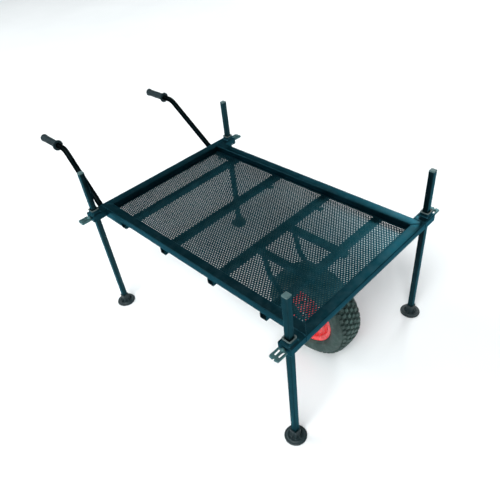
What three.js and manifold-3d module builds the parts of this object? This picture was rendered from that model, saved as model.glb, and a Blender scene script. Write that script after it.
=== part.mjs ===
// A barrow for carrying an angler's gear that also stands on four legs as a level platform.
// Millimetres, +Z up. The origin is on the ground, under the middle of the object's box.
// +X points to the wheel end, so the handles are at -X, left is +Y and right is -Y.

import * as THREE from 'three';
import { mergeVertices } from 'three/addons/utils/BufferGeometryUtils.js';
import Module from 'manifold-3d';

const wasm = await Module();
wasm.setup();

// ---- driving dimensions ----

const GAP = 0.3; // left between pieces that touch

const DECK_LENGTH = 1148; // over the end rails
const DECK_WIDTH = 700; // over the side rails
const DECK_TOP = 539; // top of the rails above the ground
const RAIL = { width: 40, height: 30, wall: 2, corner: 3 };
const SHEET_THICKNESS = 1.5;

const BAR = { width: 30, height: 25, wall: 1.5, corner: 2.5 };
const BAR_CENTRES = [-415, -145, 132, 391]; // from the middle of the deck
const SOCKET_BARS = [1, 2]; // the cross bars whose open left ends take accessory arms
const BAR_SCREW_FROM_END = 115;

const LEG = { width: 22, wall: 1.5, corner: 2, spread: 397, top: 735 };
const CAP_THICKNESS = 5;
const BRACKET = { width: 54, wall: 2.5, corner: 3, beyondLeg: 26 };
const SLEEVE = { width: 34, wall: 2.5, corner: 4, top: 553 };
const BUSH = { flange: 36, flangeThickness: 4, hole: 25, depth: 43, corner: 5 };
const FOOT = { radius: 42, rim: 7, ring: 9, collar: 30, collarTop: 46, floor: 8 };

const SOCKET = { width: 31, wall: 2.5, corner: 2, spread: 330, screw: -500 };
const HANDLE = { radius: 12.5, wall: 1.5, bend: 55, lean: THREE.MathUtils.degToRad(5.4) };
const HANDLE_RISE_AT = -613; // where the handle turns up, from the middle of the deck
const HANDLE_LEVEL_AT = -848; // where it turns level again
const HANDLE_LIFT = 214.5; // from its socket to its grip, along its own slope
const GRIP_END_AT = -1044;
const GRIP = { length: 138, radius: 16, endRadius: 18, flange: 24.5, flangeThickness: 7, cover: 3 };

const WHEEL_AT = 318; // from the middle of the deck
const TYRE = { radius: 200, halfWidth: 72, wall: 8, bead: 110 };
const RIM = { halfWidth: 52, flange: 126, sheet: 3, disc: 62, seat: 109.6 };
const HUB = { radius: 20, bore: 16, halfLength: 56 };
const BEARING = { radius: 15.7, bore: 6.3, width: 11 };
const AXLE_RADIUS = 6;
const AXLE_NUT = { radius: 10.5, thickness: 10 };
const SPACER_RADIUS = 9.5;
const RIM_BOLTS = { count: 4, circle: 44, hole: 4.3 };
const VALVE = { circle: 54, radius: 4.2, core: 2.8, length: 32 };

const FORK_SPREAD = 91;
const FORK_RAIL = { width: 25, wall: 1.5, corner: 2.5 };
const STRUT = { radius: 10, wall: 2, top: 150, knee: [172, 365], bend: 60, shortOfAxle: 34 };
const LUG = { thickness: 6, inner: 76.5, eye: 19, length: 96, tip: 11 };

const SCREW_RADIUS = 4;
const WELD_NUT = { radius: 8, thickness: 7 };
const WELD = 1; // how far joined pieces run into each other
const WING_LOOP = { width: 7, length: 26 };
const BIG_WING = { halfWidth: 19, length: 44, thickness: 9, stem: 5, notch: 4, loop: WING_LOOP };
const SMALL_WING = { halfWidth: 11.5, length: 26, thickness: 5, stem: 3.6, notch: 3 };

// ---- places worked out from them ----

const RAIL_UNDERSIDE = DECK_TOP - RAIL.height;
const BAR_Z = RAIL_UNDERSIDE - GAP - BAR.height / 2;
const BAR_UNDERSIDE = BAR_Z - BAR.height / 2;
const LEG_X = DECK_LENGTH / 2 - BRACKET.width / 2; // the brackets' outer sides are flush with the end rails
const DECK_X = -(LEG_X + FOOT.radius + GRIP_END_AT) / 2; // centres the whole length on the origin
const SOCKET_Z = RAIL_UNDERSIDE - GAP - SOCKET.width / 2;
const LEG_SCREW_Z = DECK_TOP - RAIL.height / 2;
const FORK_RAIL_Z = BAR_UNDERSIDE - GAP - FORK_RAIL.width / 2;
const AXLE_Z = TYRE.radius;

const CORNERS = [
  { name: 'front_left', x: 1, y: 1 },
  { name: 'front_right', x: 1, y: -1 },
  { name: 'rear_left', x: -1, y: 1 },
  { name: 'rear_right', x: -1, y: -1 },
];
const SIDES = [{ name: 'left', y: 1 }, { name: 'right', y: -1 }];

// ---- materials ----

function material(color, roughness, metalness) {
  return () => new THREE.MeshStandardMaterial({ color, roughness, metalness });
}
const paint = material(0x16272b, 0.45, 0.3);
const deckPaint = material(0x1b3138, 0.5, 0.3);
const legPaint = material(0x1c3034, 0.45, 0.3);
const capPlastic = material(0x8fa3a0, 0.6, 0);
const bushPlastic = material(0x3d4d4c, 0.6, 0);
const footRubber = material(0x1d2423, 0.75, 0);
const gripRubber = material(0x141a1b, 0.8, 0);
const tyreRubber = material(0x2a322f, 0.85, 0);
const rimPaint = material(0xc8262a, 0.35, 0.2);
const zinc = material(0xb9bec0, 0.35, 0.9);
const steel = material(0x8d9294, 0.3, 0.9);
const wingCasting = material(0x2c3b3b, 0.5, 0.3);

// ---- geometry helpers ----

const X = new THREE.Vector3(1, 0, 0);
const Y = new THREE.Vector3(0, 1, 0);
const Z = new THREE.Vector3(0, 0, 1);

// Turns of a section that is drawn with x across, y up and z along its length.
const ALONG = {
  x: new THREE.Matrix4().makeBasis(Y, Z, X),
  y: new THREE.Matrix4().makeBasis(X.clone().negate(), Z, Y),
};

function roundedRectangle(width, height, corner, path = new THREE.Shape()) {
  const x = width / 2 - corner;
  const y = height / 2 - corner;
  const quarter = Math.PI / 2;
  path.absarc(x, y, corner, 0, quarter);
  path.absarc(-x, y, corner, quarter, 2 * quarter);
  path.absarc(-x, -y, corner, 2 * quarter, 3 * quarter);
  path.absarc(x, -y, corner, 3 * quarter, 4 * quarter);
  path.closePath();
  return path;
}

// curveSegments is half the number of steps in each arc, as three.js counts them.
function extrude(shape, depth, curveSegments = 1) {
  const geometry = new THREE.ExtrudeGeometry(shape, { depth, curveSegments, bevelEnabled: false });
  return geometry.translate(0, 0, -depth / 2);
}

function boxTube(width, height, wall, corner, length) {
  const shape = roundedRectangle(width, height, corner);
  const inner = Math.max(corner - wall, 0.6);
  shape.holes.push(roundedRectangle(width - 2 * wall, height - 2 * wall, inner, new THREE.Path()));
  return extrude(shape, length);
}

// Cuts both ends of a tube at 45 degrees. outward is the side that keeps its full length.
function mitre(geometry, width, outward) {
  const position = geometry.attributes.position;
  for (let i = 0; i < position.count; i++) {
    const inset = width / 2 - outward * position.getX(i) + GAP;
    position.setZ(i, position.getZ(i) - Math.sign(position.getZ(i)) * inset);
  }
  return geometry;
}

function lathe(points, segments) {
  const profile = points.map(([radius, height]) => new THREE.Vector2(radius, height));
  return new THREE.LatheGeometry(profile, segments);
}

// A ring or sleeve about the local Y axis, from y0 to y1.
function ring(outer, bore, y0, y1, segments = 24) {
  return lathe([[bore, y0], [outer, y0], [outer, y1], [bore, y1], [bore, y0]], segments);
}

function cylinder(radius, y0, y1, segments = 16) {
  return new THREE.CylinderGeometry(radius, radius, y1 - y0, segments).translate(0, (y0 + y1) / 2, 0);
}

function solid(geometry) {
  const bare = geometry.clone();
  bare.deleteAttribute('normal');
  bare.deleteAttribute('uv');
  const merged = mergeVertices(bare, 1e-4);
  return new wasm.Manifold(new wasm.Mesh({
    numProp: 3,
    vertProperties: merged.attributes.position.array,
    triVerts: new Uint32Array(merged.index.array),
  }));
}

function fromSolid(manifold) {
  const mesh = manifold.getMesh();
  const geometry = new THREE.BufferGeometry();
  geometry.setAttribute('position', new THREE.BufferAttribute(mesh.vertProperties, 3));
  geometry.setIndex(new THREE.BufferAttribute(mesh.triVerts, 1));
  geometry.computeVertexNormals();
  return geometry;
}

function cut(geometry, ...tools) {
  return fromSolid(tools.reduce((body, tool) => body.subtract(solid(tool)), solid(geometry)));
}

function join(geometry, ...others) {
  return fromSolid(others.reduce((body, other) => body.add(solid(other)), solid(geometry)));
}

// A six-sided nut about the local Y axis, from y0 to y1.
function hexNut(radius, bore, y0, y1) {
  return cut(cylinder(radius, y0, y1, 6), cylinder(bore, y0 - 1, y1 + 1, 20));
}

// A centreline of straight stretches joined by arcs, in the XZ plane.
class BentLine extends THREE.Curve {
  constructor(corners, bendRadius, arcSteps) {
    super();
    const points = corners.map(([x, z]) => new THREE.Vector2(x, z));
    this.stations = [points[0]];
    for (let i = 1; i < points.length - 1; i++) {
      const back = points[i - 1].clone().sub(points[i]).normalize();
      const on = points[i + 1].clone().sub(points[i]).normalize();
      const turn = Math.PI - back.angleTo(on);
      const centreLine = back.clone().add(on).normalize();
      const centre = points[i].clone().addScaledVector(centreLine, bendRadius / Math.cos(turn / 2));
      const from = points[i].clone().addScaledVector(back, bendRadius * Math.tan(turn / 2)).sub(centre);
      const sign = Math.sign(-back.cross(on)) * -1;
      for (let step = 0; step <= arcSteps; step++) {
        const swept = from.clone().rotateAround(new THREE.Vector2(), sign * -turn * step / arcSteps);
        this.stations.push(swept.add(centre));
      }
    }
    this.stations.push(points[points.length - 1]);
  }

  get steps() {
    return this.stations.length - 1;
  }

  getPointAt(u) {
    const place = Math.min(u, 1) * this.steps;
    const i = Math.min(Math.floor(place), this.steps - 1);
    const point = this.stations[i].clone().lerp(this.stations[i + 1], place - i);
    return new THREE.Vector3(point.x, 0, point.y);
  }

  getPoint(t) {
    return this.getPointAt(t);
  }

  getTangentAt(u) {
    const step = 1 / this.steps;
    const before = this.getPointAt(Math.max(u - step / 2, 0));
    const after = this.getPointAt(Math.min(u + step / 2, 1));
    return after.sub(before).normalize();
  }

  getSpacedPoints(divisions) {
    return Array.from({ length: divisions + 1 }, (_, i) => this.getPointAt(i / divisions));
  }
}

function roundTube(line, radius, wall, sides = 14) {
  const shape = new THREE.Shape().absarc(0, 0, radius, 0, 2 * Math.PI);
  shape.holes.push(new THREE.Path().absarc(0, 0, radius - wall, 0, 2 * Math.PI));
  const options = { steps: line.steps, extrudePath: line, curveSegments: sides / 2 };
  return new THREE.ExtrudeGeometry(shape, options);
}

// ---- scene graph ----

const barrow = new THREE.Group();
const platform = new THREE.Group(); // measured from the middle of the deck
platform.position.x = DECK_X;
barrow.add(platform);

function add(name, geometry, makeMaterial, place = [0, 0, 0], turn = null, parent = platform) {
  const mesh = new THREE.Mesh(geometry, makeMaterial());
  mesh.name = name;
  mesh.position.set(...place);
  if (turn) mesh.setRotationFromMatrix(turn);
  parent.add(mesh);
  return mesh;
}

// ---- deck ----

function deckFrame() {
  const z = DECK_TOP - RAIL.height / 2;
  const tube = (length) => boxTube(RAIL.width, RAIL.height, RAIL.wall, RAIL.corner, length);
  for (const side of SIDES) {
    const y = side.y * (DECK_WIDTH - RAIL.width) / 2;
    const rail = mitre(tube(DECK_LENGTH + 2 * GAP), RAIL.width, side.y);
    add(`side_rail_${side.name}`, rail, paint, [0, y, z], ALONG.x);
  }
  for (const end of [{ name: 'front', x: 1 }, { name: 'rear', x: -1 }]) {
    const x = end.x * (DECK_LENGTH - RAIL.width) / 2;
    const rail = mitre(tube(DECK_WIDTH + 2 * GAP), RAIL.width, -end.x);
    add(`end_rail_${end.name}`, rail, paint, [x, 0, z], ALONG.y);
  }
}

function deckSheet() {
  const length = DECK_LENGTH - 2 * (RAIL.width + GAP);
  const width = DECK_WIDTH - 2 * (RAIL.width + GAP);
  const sheet = new THREE.BoxGeometry(length, width, SHEET_THICKNESS);
  add('deck_mesh', sheet, deckPaint, [0, 0, RAIL_UNDERSIDE + SHEET_THICKNESS / 2]);
}

function crossBars() {
  const plain = boxTube(BAR.width, BAR.height, BAR.wall, BAR.corner, DECK_WIDTH).applyMatrix4(ALONG.y);
  const bossTurn = new THREE.Matrix4().makeRotationZ(-Math.PI / 2);
  bossTurn.setPosition(0, DECK_WIDTH / 2 - BAR_SCREW_FROM_END, 0);
  const withBoss = withClampBoss(plain, BAR.width / 2, bossTurn);
  BAR_CENTRES.forEach((x, i) => {
    add(`cross_bar_${i + 1}`, SOCKET_BARS.includes(i) ? withBoss : plain, paint, [x, 0, BAR_Z]);
  });
}

// Welds a nut on a tube's wall and drills through both. The wall is at that distance along +Y, then turned.
function withClampBoss(tube, wall, turn) {
  const bore = SCREW_RADIUS + GAP;
  const nut = hexNut(WELD_NUT.radius, bore, wall - WELD, wall + WELD_NUT.thickness).applyMatrix4(turn);
  const drill = cylinder(bore, 0, wall + WELD_NUT.thickness + WELD).applyMatrix4(turn);
  return cut(join(tube, nut), drill);
}

// ---- leg brackets ----

// The screw's height, and for a corner on the right the half turn that brings +Y to its outer side.
const atLegScrew = new THREE.Matrix4().makeTranslation(0, 0, LEG_SCREW_Z);

function facing(corner) {
  return new THREE.Matrix4().makeRotationZ(corner.y > 0 ? 0 : Math.PI);
}

// A box arm, as deep as the side rail that it is welded to and closed at its outer end. A square sleeve
// for a leg runs through it and stands above it.
function legBracket() {
  const { width, wall, corner, beyondLeg } = BRACKET;
  const armStart = DECK_WIDTH / 2 + GAP - LEG.spread;
  const arm = boxTube(width, RAIL.height, wall, corner, beyondLeg - armStart);
  arm.applyMatrix4(ALONG.y).translate(0, (beyondLeg + armStart) / 2, LEG_SCREW_Z);
  const end = extrude(roundedRectangle(width, RAIL.height, corner), wall);
  end.applyMatrix4(ALONG.y).translate(0, beyondLeg - wall / 2, LEG_SCREW_Z);
  const sleeveOutline = roundedRectangle(SLEEVE.width, SLEEVE.width, SLEEVE.corner);
  const sleeve = extrude(sleeveOutline, SLEEVE.top - RAIL_UNDERSIDE);
  sleeve.translate(0, 0, (SLEEVE.top + RAIL_UNDERSIDE) / 2);
  const bore = SLEEVE.width - 2 * SLEEVE.wall;
  const passage = extrude(roundedRectangle(bore, bore, SLEEVE.corner - SLEEVE.wall), 2 * SLEEVE.top);
  const drill = cylinder(SCREW_RADIUS + GAP, 0, beyondLeg + WELD).applyMatrix4(atLegScrew);
  return cut(join(arm, end, sleeve), passage, drill);
}

// A plastic liner for a sleeve: a square flange on the sleeve's top edge and a square tube inside it.
function bush() {
  const outline = roundedRectangle(BUSH.flange, BUSH.flange, BUSH.corner);
  outline.holes.push(roundedRectangle(BUSH.hole, BUSH.hole, 1, new THREE.Path()));
  const flange = extrude(outline, BUSH.flangeThickness);
  flange.translate(0, 0, SLEEVE.top + GAP + BUSH.flangeThickness / 2);
  const outer = SLEEVE.width - 2 * (SLEEVE.wall + GAP);
  const wall = (outer - BUSH.hole) / 2;
  const liner = boxTube(outer, outer, wall, wall, BUSH.depth + WELD);
  liner.translate(0, 0, SLEEVE.top + GAP + WELD - (BUSH.depth + WELD) / 2);
  const drill = cylinder(SCREW_RADIUS + GAP, 0, SLEEVE.width).applyMatrix4(atLegScrew);
  return cut(join(flange, liner), drill);
}

function legBrackets() {
  const bracket = legBracket();
  const liner = bush();
  for (const corner of CORNERS) {
    const place = [corner.x * LEG_X, corner.y * LEG.spread, 0];
    add(`leg_bracket_${corner.name}`, bracket, paint, place, facing(corner));
    add(`leg_bush_${corner.name}`, liner, bushPlastic, place, facing(corner));
  }
}

// ---- legs ----

function leg(corner) {
  const group = new THREE.Group();
  group.position.set(corner.x * LEG_X, corner.y * LEG.spread, 0);
  platform.add(group);

  const tubeBottom = FOOT.floor + GAP;
  const tubeTop = LEG.top - CAP_THICKNESS - GAP;
  const tube = boxTube(LEG.width, LEG.width, LEG.wall, LEG.corner, tubeTop - tubeBottom);
  add(`leg_${corner.name}`, tube, legPaint, [0, 0, (tubeTop + tubeBottom) / 2], null, group);

  const head = extrude(roundedRectangle(LEG.width, LEG.width, LEG.corner + 0.5), CAP_THICKNESS);
  const bore = LEG.width - 2 * (LEG.wall + GAP);
  const stemLength = 16;
  const stem = extrude(roundedRectangle(bore, bore, 1), stemLength);
  stem.translate(0, 0, WELD - (CAP_THICKNESS + stemLength) / 2);
  const cap = join(head, stem);
  add(`leg_cap_${corner.name}`, cap, capPlastic, [0, 0, LEG.top - CAP_THICKNESS / 2], null, group);

  add(`foot_${corner.name}`, foot(), footRubber, [0, 0, 0], null, group);
}

// A round pad with a raised ring, and a square collar that the leg stands in.
function foot() {
  const { radius, rim, ring: ringTop, collar, collarTop, floor } = FOOT;
  const pad = lathe([
    [0, 0], [radius - 2, 0], [radius, 2], [radius, rim - 2], [radius - 2, rim],
    [31, rim], [29, ringTop], [25, ringTop], [23, rim], [0, rim],
  ], 24).rotateX(Math.PI / 2);
  const block = extrude(roundedRectangle(collar, collar, 4), collarTop - WELD);
  block.translate(0, 0, (collarTop + WELD) / 2);
  const well = LEG.width + 2 * GAP;
  const wellDepth = collarTop - floor + WELD;
  const pocket = extrude(roundedRectangle(well, well, LEG.corner), wellDepth);
  pocket.translate(0, 0, floor + wellDepth / 2);
  return cut(join(pad, block), pocket);
}

// ---- clamp screws ----

// A flat wing in the XY plane, from its root at y = 0 to its tip, with a shallow hollow between the two
// corners of its tip and, on the big wing, an open loop each side of its stem.
function wingPlate({ halfWidth, length, thickness, stem, notch, loop }) {
  const root = halfWidth - 2;
  const shoulder = 4;
  const outline = new THREE.Shape();
  outline.moveTo(root, 0);
  outline.lineTo(halfWidth, shoulder);
  outline.lineTo(halfWidth, length - shoulder);
  outline.quadraticCurveTo(halfWidth, length, halfWidth - shoulder, length);
  outline.quadraticCurveTo(0, length - 2 * notch, shoulder - halfWidth, length);
  outline.quadraticCurveTo(-halfWidth, length, -halfWidth, length - shoulder);
  outline.lineTo(-halfWidth, shoulder);
  outline.lineTo(-root, 0);
  const plate = extrude(outline, thickness, 4);
  if (!loop) return plate;
  const windows = [1, -1].map((side) => {
    const window = extrude(roundedRectangle(loop.width, loop.length, 2), 3 * thickness);
    const x = stem + GAP + loop.width / 2;
    return window.translate(side * x, shoulder + loop.length / 2, 0);
  });
  return cut(plate, ...windows);
}

// A screw along +Y. Its tip is at y = 0, and its collar starts just past y = reach.
function wingScrew(wing, reach) {
  const collar = { start: reach + GAP, length: 9 };
  const wingStart = collar.start + 4;
  const stemEnd = wingStart + wing.length - 2 * wing.notch;
  return join(
    cylinder(SCREW_RADIUS, 0, collar.start + WELD),
    cylinder(SCREW_RADIUS + 4, collar.start, collar.start + collar.length, 20),
    wingPlate(wing).translate(0, wingStart, 0),
    cylinder(wing.stem, collar.start + WELD, stemEnd, 12),
  );
}

function clampScrews() {
  const legFace = LEG.width / 2 + GAP;
  for (const corner of CORNERS) {
    const tip = [corner.x * LEG_X, corner.y * (LEG.spread + legFace), LEG_SCREW_Z];
    const screw = wingScrew(BIG_WING, BRACKET.beyondLeg - legFace);
    add(`leg_screw_${corner.name}`, screw, wingCasting, tip, facing(corner));
  }
  const handleFace = HANDLE.radius + GAP;
  const socketBoss = SOCKET.width / 2 + WELD_NUT.thickness;
  for (const side of SIDES) {
    const tip = [SOCKET.screw, side.y * (SOCKET.spread - handleFace), SOCKET_Z];
    const screw = wingScrew(SMALL_WING, socketBoss - handleFace);
    add(`handle_screw_${side.name}`, screw, wingCasting, tip, facing({ y: -side.y }));
  }
  const forward = new THREE.Matrix4().makeRotationZ(-Math.PI / 2);
  for (const i of SOCKET_BARS) {
    const x = BAR_CENTRES[i] + BAR.width / 2 - BAR.wall;
    const tip = [x, DECK_WIDTH / 2 - BAR_SCREW_FROM_END, BAR_Z];
    const screw = wingScrew(SMALL_WING, BAR.wall + WELD_NUT.thickness);
    add(`bar_screw_${i + 1}`, screw, wingCasting, tip, forward);
  }
}

// ---- handles ----

function handleSockets() {
  const rear = -DECK_LENGTH / 2;
  const front = BAR_CENTRES[0] - BAR.width / 2 - GAP;
  const middle = (rear + front) / 2;
  const tube = boxTube(SOCKET.width, SOCKET.width, SOCKET.wall, SOCKET.corner, front - rear);
  const atScrew = new THREE.Matrix4().makeTranslation(SOCKET.screw - middle, 0, 0);
  const socket = withClampBoss(tube.applyMatrix4(ALONG.x), SOCKET.width / 2, atScrew);
  for (const side of SIDES) {
    const inward = new THREE.Matrix4().makeRotationX(side.y > 0 ? Math.PI : 0);
    add(`handle_socket_${side.name}`, socket, paint, [middle, side.y * SOCKET.spread, SOCKET_Z], inward);
  }
}

// A rubber grip about the local Y axis, open at its flange end, which is at y = 0.
function gripGeometry() {
  const { length, radius, endRadius, flange, flangeThickness, cover } = GRIP;
  const bore = HANDLE.radius + GAP;
  return lathe([
    [bore, 0], [flange - 2, 0], [flange, 2], [flange, flangeThickness - 2],
    [flange - 2, flangeThickness], [radius, flangeThickness + 1], [radius, length - 16],
    [endRadius, length - 9], [endRadius, length - 2], [endRadius - 2, length],
    [0, length], [0, length - cover], [bore, length - cover], [bore, 0],
  ], 18);
}

function handle(side) {
  const group = new THREE.Group();
  group.position.set(0, side.y * SOCKET.spread, SOCKET_Z);
  group.rotation.x = side.y * HANDLE.lean;
  platform.add(group);

  const inner = BAR_CENTRES[0] - BAR.width / 2 - 10;
  const outer = GRIP_END_AT + GRIP.cover + GAP;
  const line = new BentLine([
    [inner, 0], [HANDLE_RISE_AT, 0], [HANDLE_LEVEL_AT, HANDLE_LIFT], [outer, HANDLE_LIFT],
  ], HANDLE.bend, 6);
  add(`handle_${side.name}`, roundTube(line, HANDLE.radius, HANDLE.wall), paint, [0, 0, 0], null, group);

  const towardsEnd = new THREE.Matrix4().makeRotationZ(Math.PI / 2);
  add(`grip_${side.name}`, gripGeometry(), gripRubber,
    [GRIP_END_AT + GRIP.length, 0, HANDLE_LIFT], towardsEnd, group);
}

// ---- fork ----

const knee = new THREE.Vector2(...STRUT.knee);
const axleToKnee = knee.clone().sub(new THREE.Vector2(WHEEL_AT, AXLE_Z));

function fork(side) {
  const y = side.y * FORK_SPREAD;
  const rear = BAR_CENTRES[2] - BAR.width / 2;
  const front = BAR_CENTRES[3] + BAR.width / 2;
  const rail = boxTube(FORK_RAIL.width, FORK_RAIL.width, FORK_RAIL.wall, FORK_RAIL.corner, front - rear);
  add(`fork_rail_${side.name}`, rail, paint, [(front + rear) / 2, y, FORK_RAIL_Z], ALONG.x);

  const lug = axleLug().translate(0, side.y * (LUG.inner + LUG.thickness / 2 - FORK_SPREAD), 0);
  add(`fork_strut_${side.name}`, join(strut(), lug), paint, [0, y, 0]);
}

// A bent tube from under a fork rail to just short of the axle.
function strut() {
  const top = FORK_RAIL_Z - FORK_RAIL.width / 2 - GAP;
  const lowerEnd = knee.clone().addScaledVector(axleToKnee, STRUT.shortOfAxle / axleToKnee.length() - 1);
  const line = new BentLine([[STRUT.top, top + 4], STRUT.knee, lowerEnd.toArray()], STRUT.bend, 4);
  const above = new THREE.BoxGeometry(80, 80, 40).translate(STRUT.top, 0, top + 20);
  return cut(roundTube(line, STRUT.radius, STRUT.wall), above);
}

// A teardrop plate: an eye round the axle, and a tail that is welded along the strut.
function axleLug() {
  const { eye, length, tip, thickness } = LUG;
  const outline = new THREE.Shape();
  const lean = Math.acos((eye - tip) / length);
  outline.absarc(0, 0, eye, lean, 2 * Math.PI - lean);
  outline.absarc(length, 0, tip, -lean, lean);
  outline.closePath();
  outline.holes.push(new THREE.Path().absarc(0, 0, AXLE_RADIUS + GAP, 0, 2 * Math.PI));
  const upStrut = new THREE.Vector3(axleToKnee.x, 0, axleToKnee.y).normalize();
  const turn = new THREE.Matrix4().makeBasis(upStrut, Y.clone().cross(upStrut), Y);
  return extrude(outline, thickness, 8).applyMatrix4(turn).translate(WHEEL_AT, 0, AXLE_Z);
}

// ---- wheel and axle ----

const HALF_TURN = new THREE.Matrix4().makeRotationZ(Math.PI);

function wheelPiece(name, geometry, makeMaterial, turn = null) {
  add(name, geometry, makeMaterial, [WHEEL_AT, 0, AXLE_Z], turn);
}

// Half of the tyre's section, as radius and distance from the middle plane.
function tyre() {
  const { radius, halfWidth, wall, bead } = TYRE;
  const fullest = radius - 45; // where the sidewall stands out furthest
  const beadFace = RIM.halfWidth - 5;
  const outside = [
    [bead, beadFace - 1], [bead + 8, beadFace + 2], [bead + 17, beadFace + 4], [bead + 21, beadFace + 11],
    [fullest - 14, halfWidth - 5], [fullest, halfWidth], [fullest + 18, halfWidth - 3],
    [radius - 11, halfWidth - 12], [radius - 3.5, halfWidth - 29], [radius, halfWidth - 56],
  ];
  const airSide = [
    [radius - wall - 4, halfWidth - 56], [radius - wall - 7, halfWidth - 34],
    [radius - wall - 15, halfWidth - 19], [fullest + 12, halfWidth - wall - 4],
    [fullest, halfWidth - wall], [fullest - 15, halfWidth - wall - 6],
    [bead + 16, beadFace - 3], [bead + 8, beadFace - 8], [bead, beadFace - 9],
  ];
  const mirror = (points) => points.map(([r, y]) => [r, -y]);
  const left = [...outside].reverse();
  const leftAirSide = [...airSide].reverse();
  const section = [...mirror(outside), ...left, ...leftAirSide, ...mirror(airSide), [bead, 1 - beadFace]];
  wheelPiece('tyre', lathe(section, 48), tyreRubber);
}

// One pressed half of the rim, on the +Y side: disc, cone, bead seat and flange.
function rimHalf() {
  const { halfWidth, flange, sheet, disc } = RIM;
  const seat = RIM.seat - GAP;
  const bore = HUB.radius + GAP;
  const face = GAP / 2;
  const seatStart = halfWidth - 17;
  const tyreSide = [
    [bore, face], [disc + 3, face], [seat - 8, seatStart - 5], [seat, seatStart], [seat, halfWidth - 5],
    [seat + 4, halfWidth - 2], [flange, halfWidth],
  ];
  const openSide = [
    [flange, halfWidth + sheet], [seat + 2, halfWidth + sheet - 1], [seat - sheet, halfWidth - 4],
    [seat - sheet, seatStart + 2], [seat - 11, seatStart - 3],
    [disc, face + sheet], [bore, face + sheet], [bore, face],
  ];
  const drills = Array.from({ length: RIM_BOLTS.count }, (_, i) => {
    const angle = (i + 0.5) * 2 * Math.PI / RIM_BOLTS.count;
    return cylinder(RIM_BOLTS.hole, -10, 20, 12).translate(RIM_BOLTS.circle, 0, 0).rotateY(angle);
  });
  return cut(lathe([...tyreSide, ...openSide], 32), ...drills);
}

// A rubber valve about the local Y axis, with its foot at y = 0.
function valve() {
  const { radius, length, core } = VALVE;
  return lathe([
    [0, 0], [radius + 2, 0], [radius + 1, 3], [radius, 9], [core, length - 10], [core, length], [0, length],
  ], 14);
}

function wheel() {
  tyre();
  const half = rimHalf();
  wheelPiece('rim_half_left', half, rimPaint);
  wheelPiece('rim_half_right', half, rimPaint, HALF_TURN);

  const { radius, bore, halfLength } = HUB;
  const shoulder = halfLength - BEARING.width - 1;
  wheelPiece('hub', lathe([
    [bore, -halfLength], [radius, -halfLength], [radius, halfLength], [bore, halfLength],
    [bore, shoulder], [bore - 3, shoulder], [bore - 3, -shoulder], [bore, -shoulder],
    [bore, -halfLength],
  ], 20), rimPaint);

  const bearing = ring(BEARING.radius, BEARING.bore, halfLength - BEARING.width, halfLength, 20);
  wheelPiece('bearing_left', bearing, steel);
  wheelPiece('bearing_right', bearing, steel, HALF_TURN);
  const discFace = RIM.sheet + GAP / 2 + GAP;
  wheelPiece('valve_stem', valve().translate(VALVE.circle, discFace, 0), tyreRubber, HALF_TURN);
}

function axleSet() {
  const lugOuter = LUG.inner + LUG.thickness;
  const bore = AXLE_RADIUS + GAP;
  const spacer = ring(SPACER_RADIUS, bore, HUB.halfLength + GAP, LUG.inner - GAP, 16);
  const nut = hexNut(AXLE_NUT.radius, bore, lugOuter + GAP, lugOuter + GAP + AXLE_NUT.thickness);
  const axleEnd = lugOuter + AXLE_NUT.thickness + 6;
  wheelPiece('axle', cylinder(AXLE_RADIUS, -axleEnd, axleEnd, 20), zinc);
  for (const side of SIDES) {
    const turn = side.y > 0 ? null : HALF_TURN;
    wheelPiece(`axle_spacer_${side.name}`, spacer, zinc, turn);
    wheelPiece(`axle_nut_${side.name}`, nut, zinc, turn);
  }
}

deckFrame();
deckSheet();
crossBars();
legBrackets();
CORNERS.forEach(leg);
handleSockets();
SIDES.forEach(handle);
clampScrews();
SIDES.forEach(fork);
wheel();
axleSet();

export default barrow;
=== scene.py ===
"""The looks of an angler's platform barrow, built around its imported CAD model. Metres, +Z up."""
import math

import bmesh
import bpy
from mathutils import Matrix, Vector
from mathutils.noise import noise


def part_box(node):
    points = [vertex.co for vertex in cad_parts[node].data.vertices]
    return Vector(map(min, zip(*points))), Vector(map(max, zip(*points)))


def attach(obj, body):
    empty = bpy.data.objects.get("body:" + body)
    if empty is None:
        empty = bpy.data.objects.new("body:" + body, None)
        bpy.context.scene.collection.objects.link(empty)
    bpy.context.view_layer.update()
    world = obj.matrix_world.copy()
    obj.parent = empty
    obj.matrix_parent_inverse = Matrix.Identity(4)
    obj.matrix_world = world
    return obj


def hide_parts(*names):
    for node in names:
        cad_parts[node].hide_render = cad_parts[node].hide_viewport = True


GAP = 0.0003  # what the CAD model leaves between pieces that touch
SOFT_EDGE = 0.0003  # the usual rounding of a tube's cut end
TINY = 1e-7  # shorter than any real length
TURN = 2 * math.pi

X, Y, Z = Vector((1, 0, 0)), Vector((0, 1, 0)), Vector((0, 0, 1))
SIDES = {"left": 1, "right": -1}  # the sign of Y on each side
CORNERS = {"front_left": 1, "front_right": -1, "rear_left": 1, "rear_right": -1}


def show(name, data):
    obj = bpy.data.objects.new(name, data)
    bpy.context.scene.collection.objects.link(obj)
    return obj


# ---- camera ----

CAMERA_AT = (1.4290, -1.0824, 1.6951)
CAMERA_AZIMUTH = 48.69  # degrees, turned about Z from looking along +Y
CAMERA_ELEVATION = 39.63  # looking down
CAMERA_ROLL = -7.05
CAMERA_LENS, SENSOR_WIDTH = 35.37, 36  # mm


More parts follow.
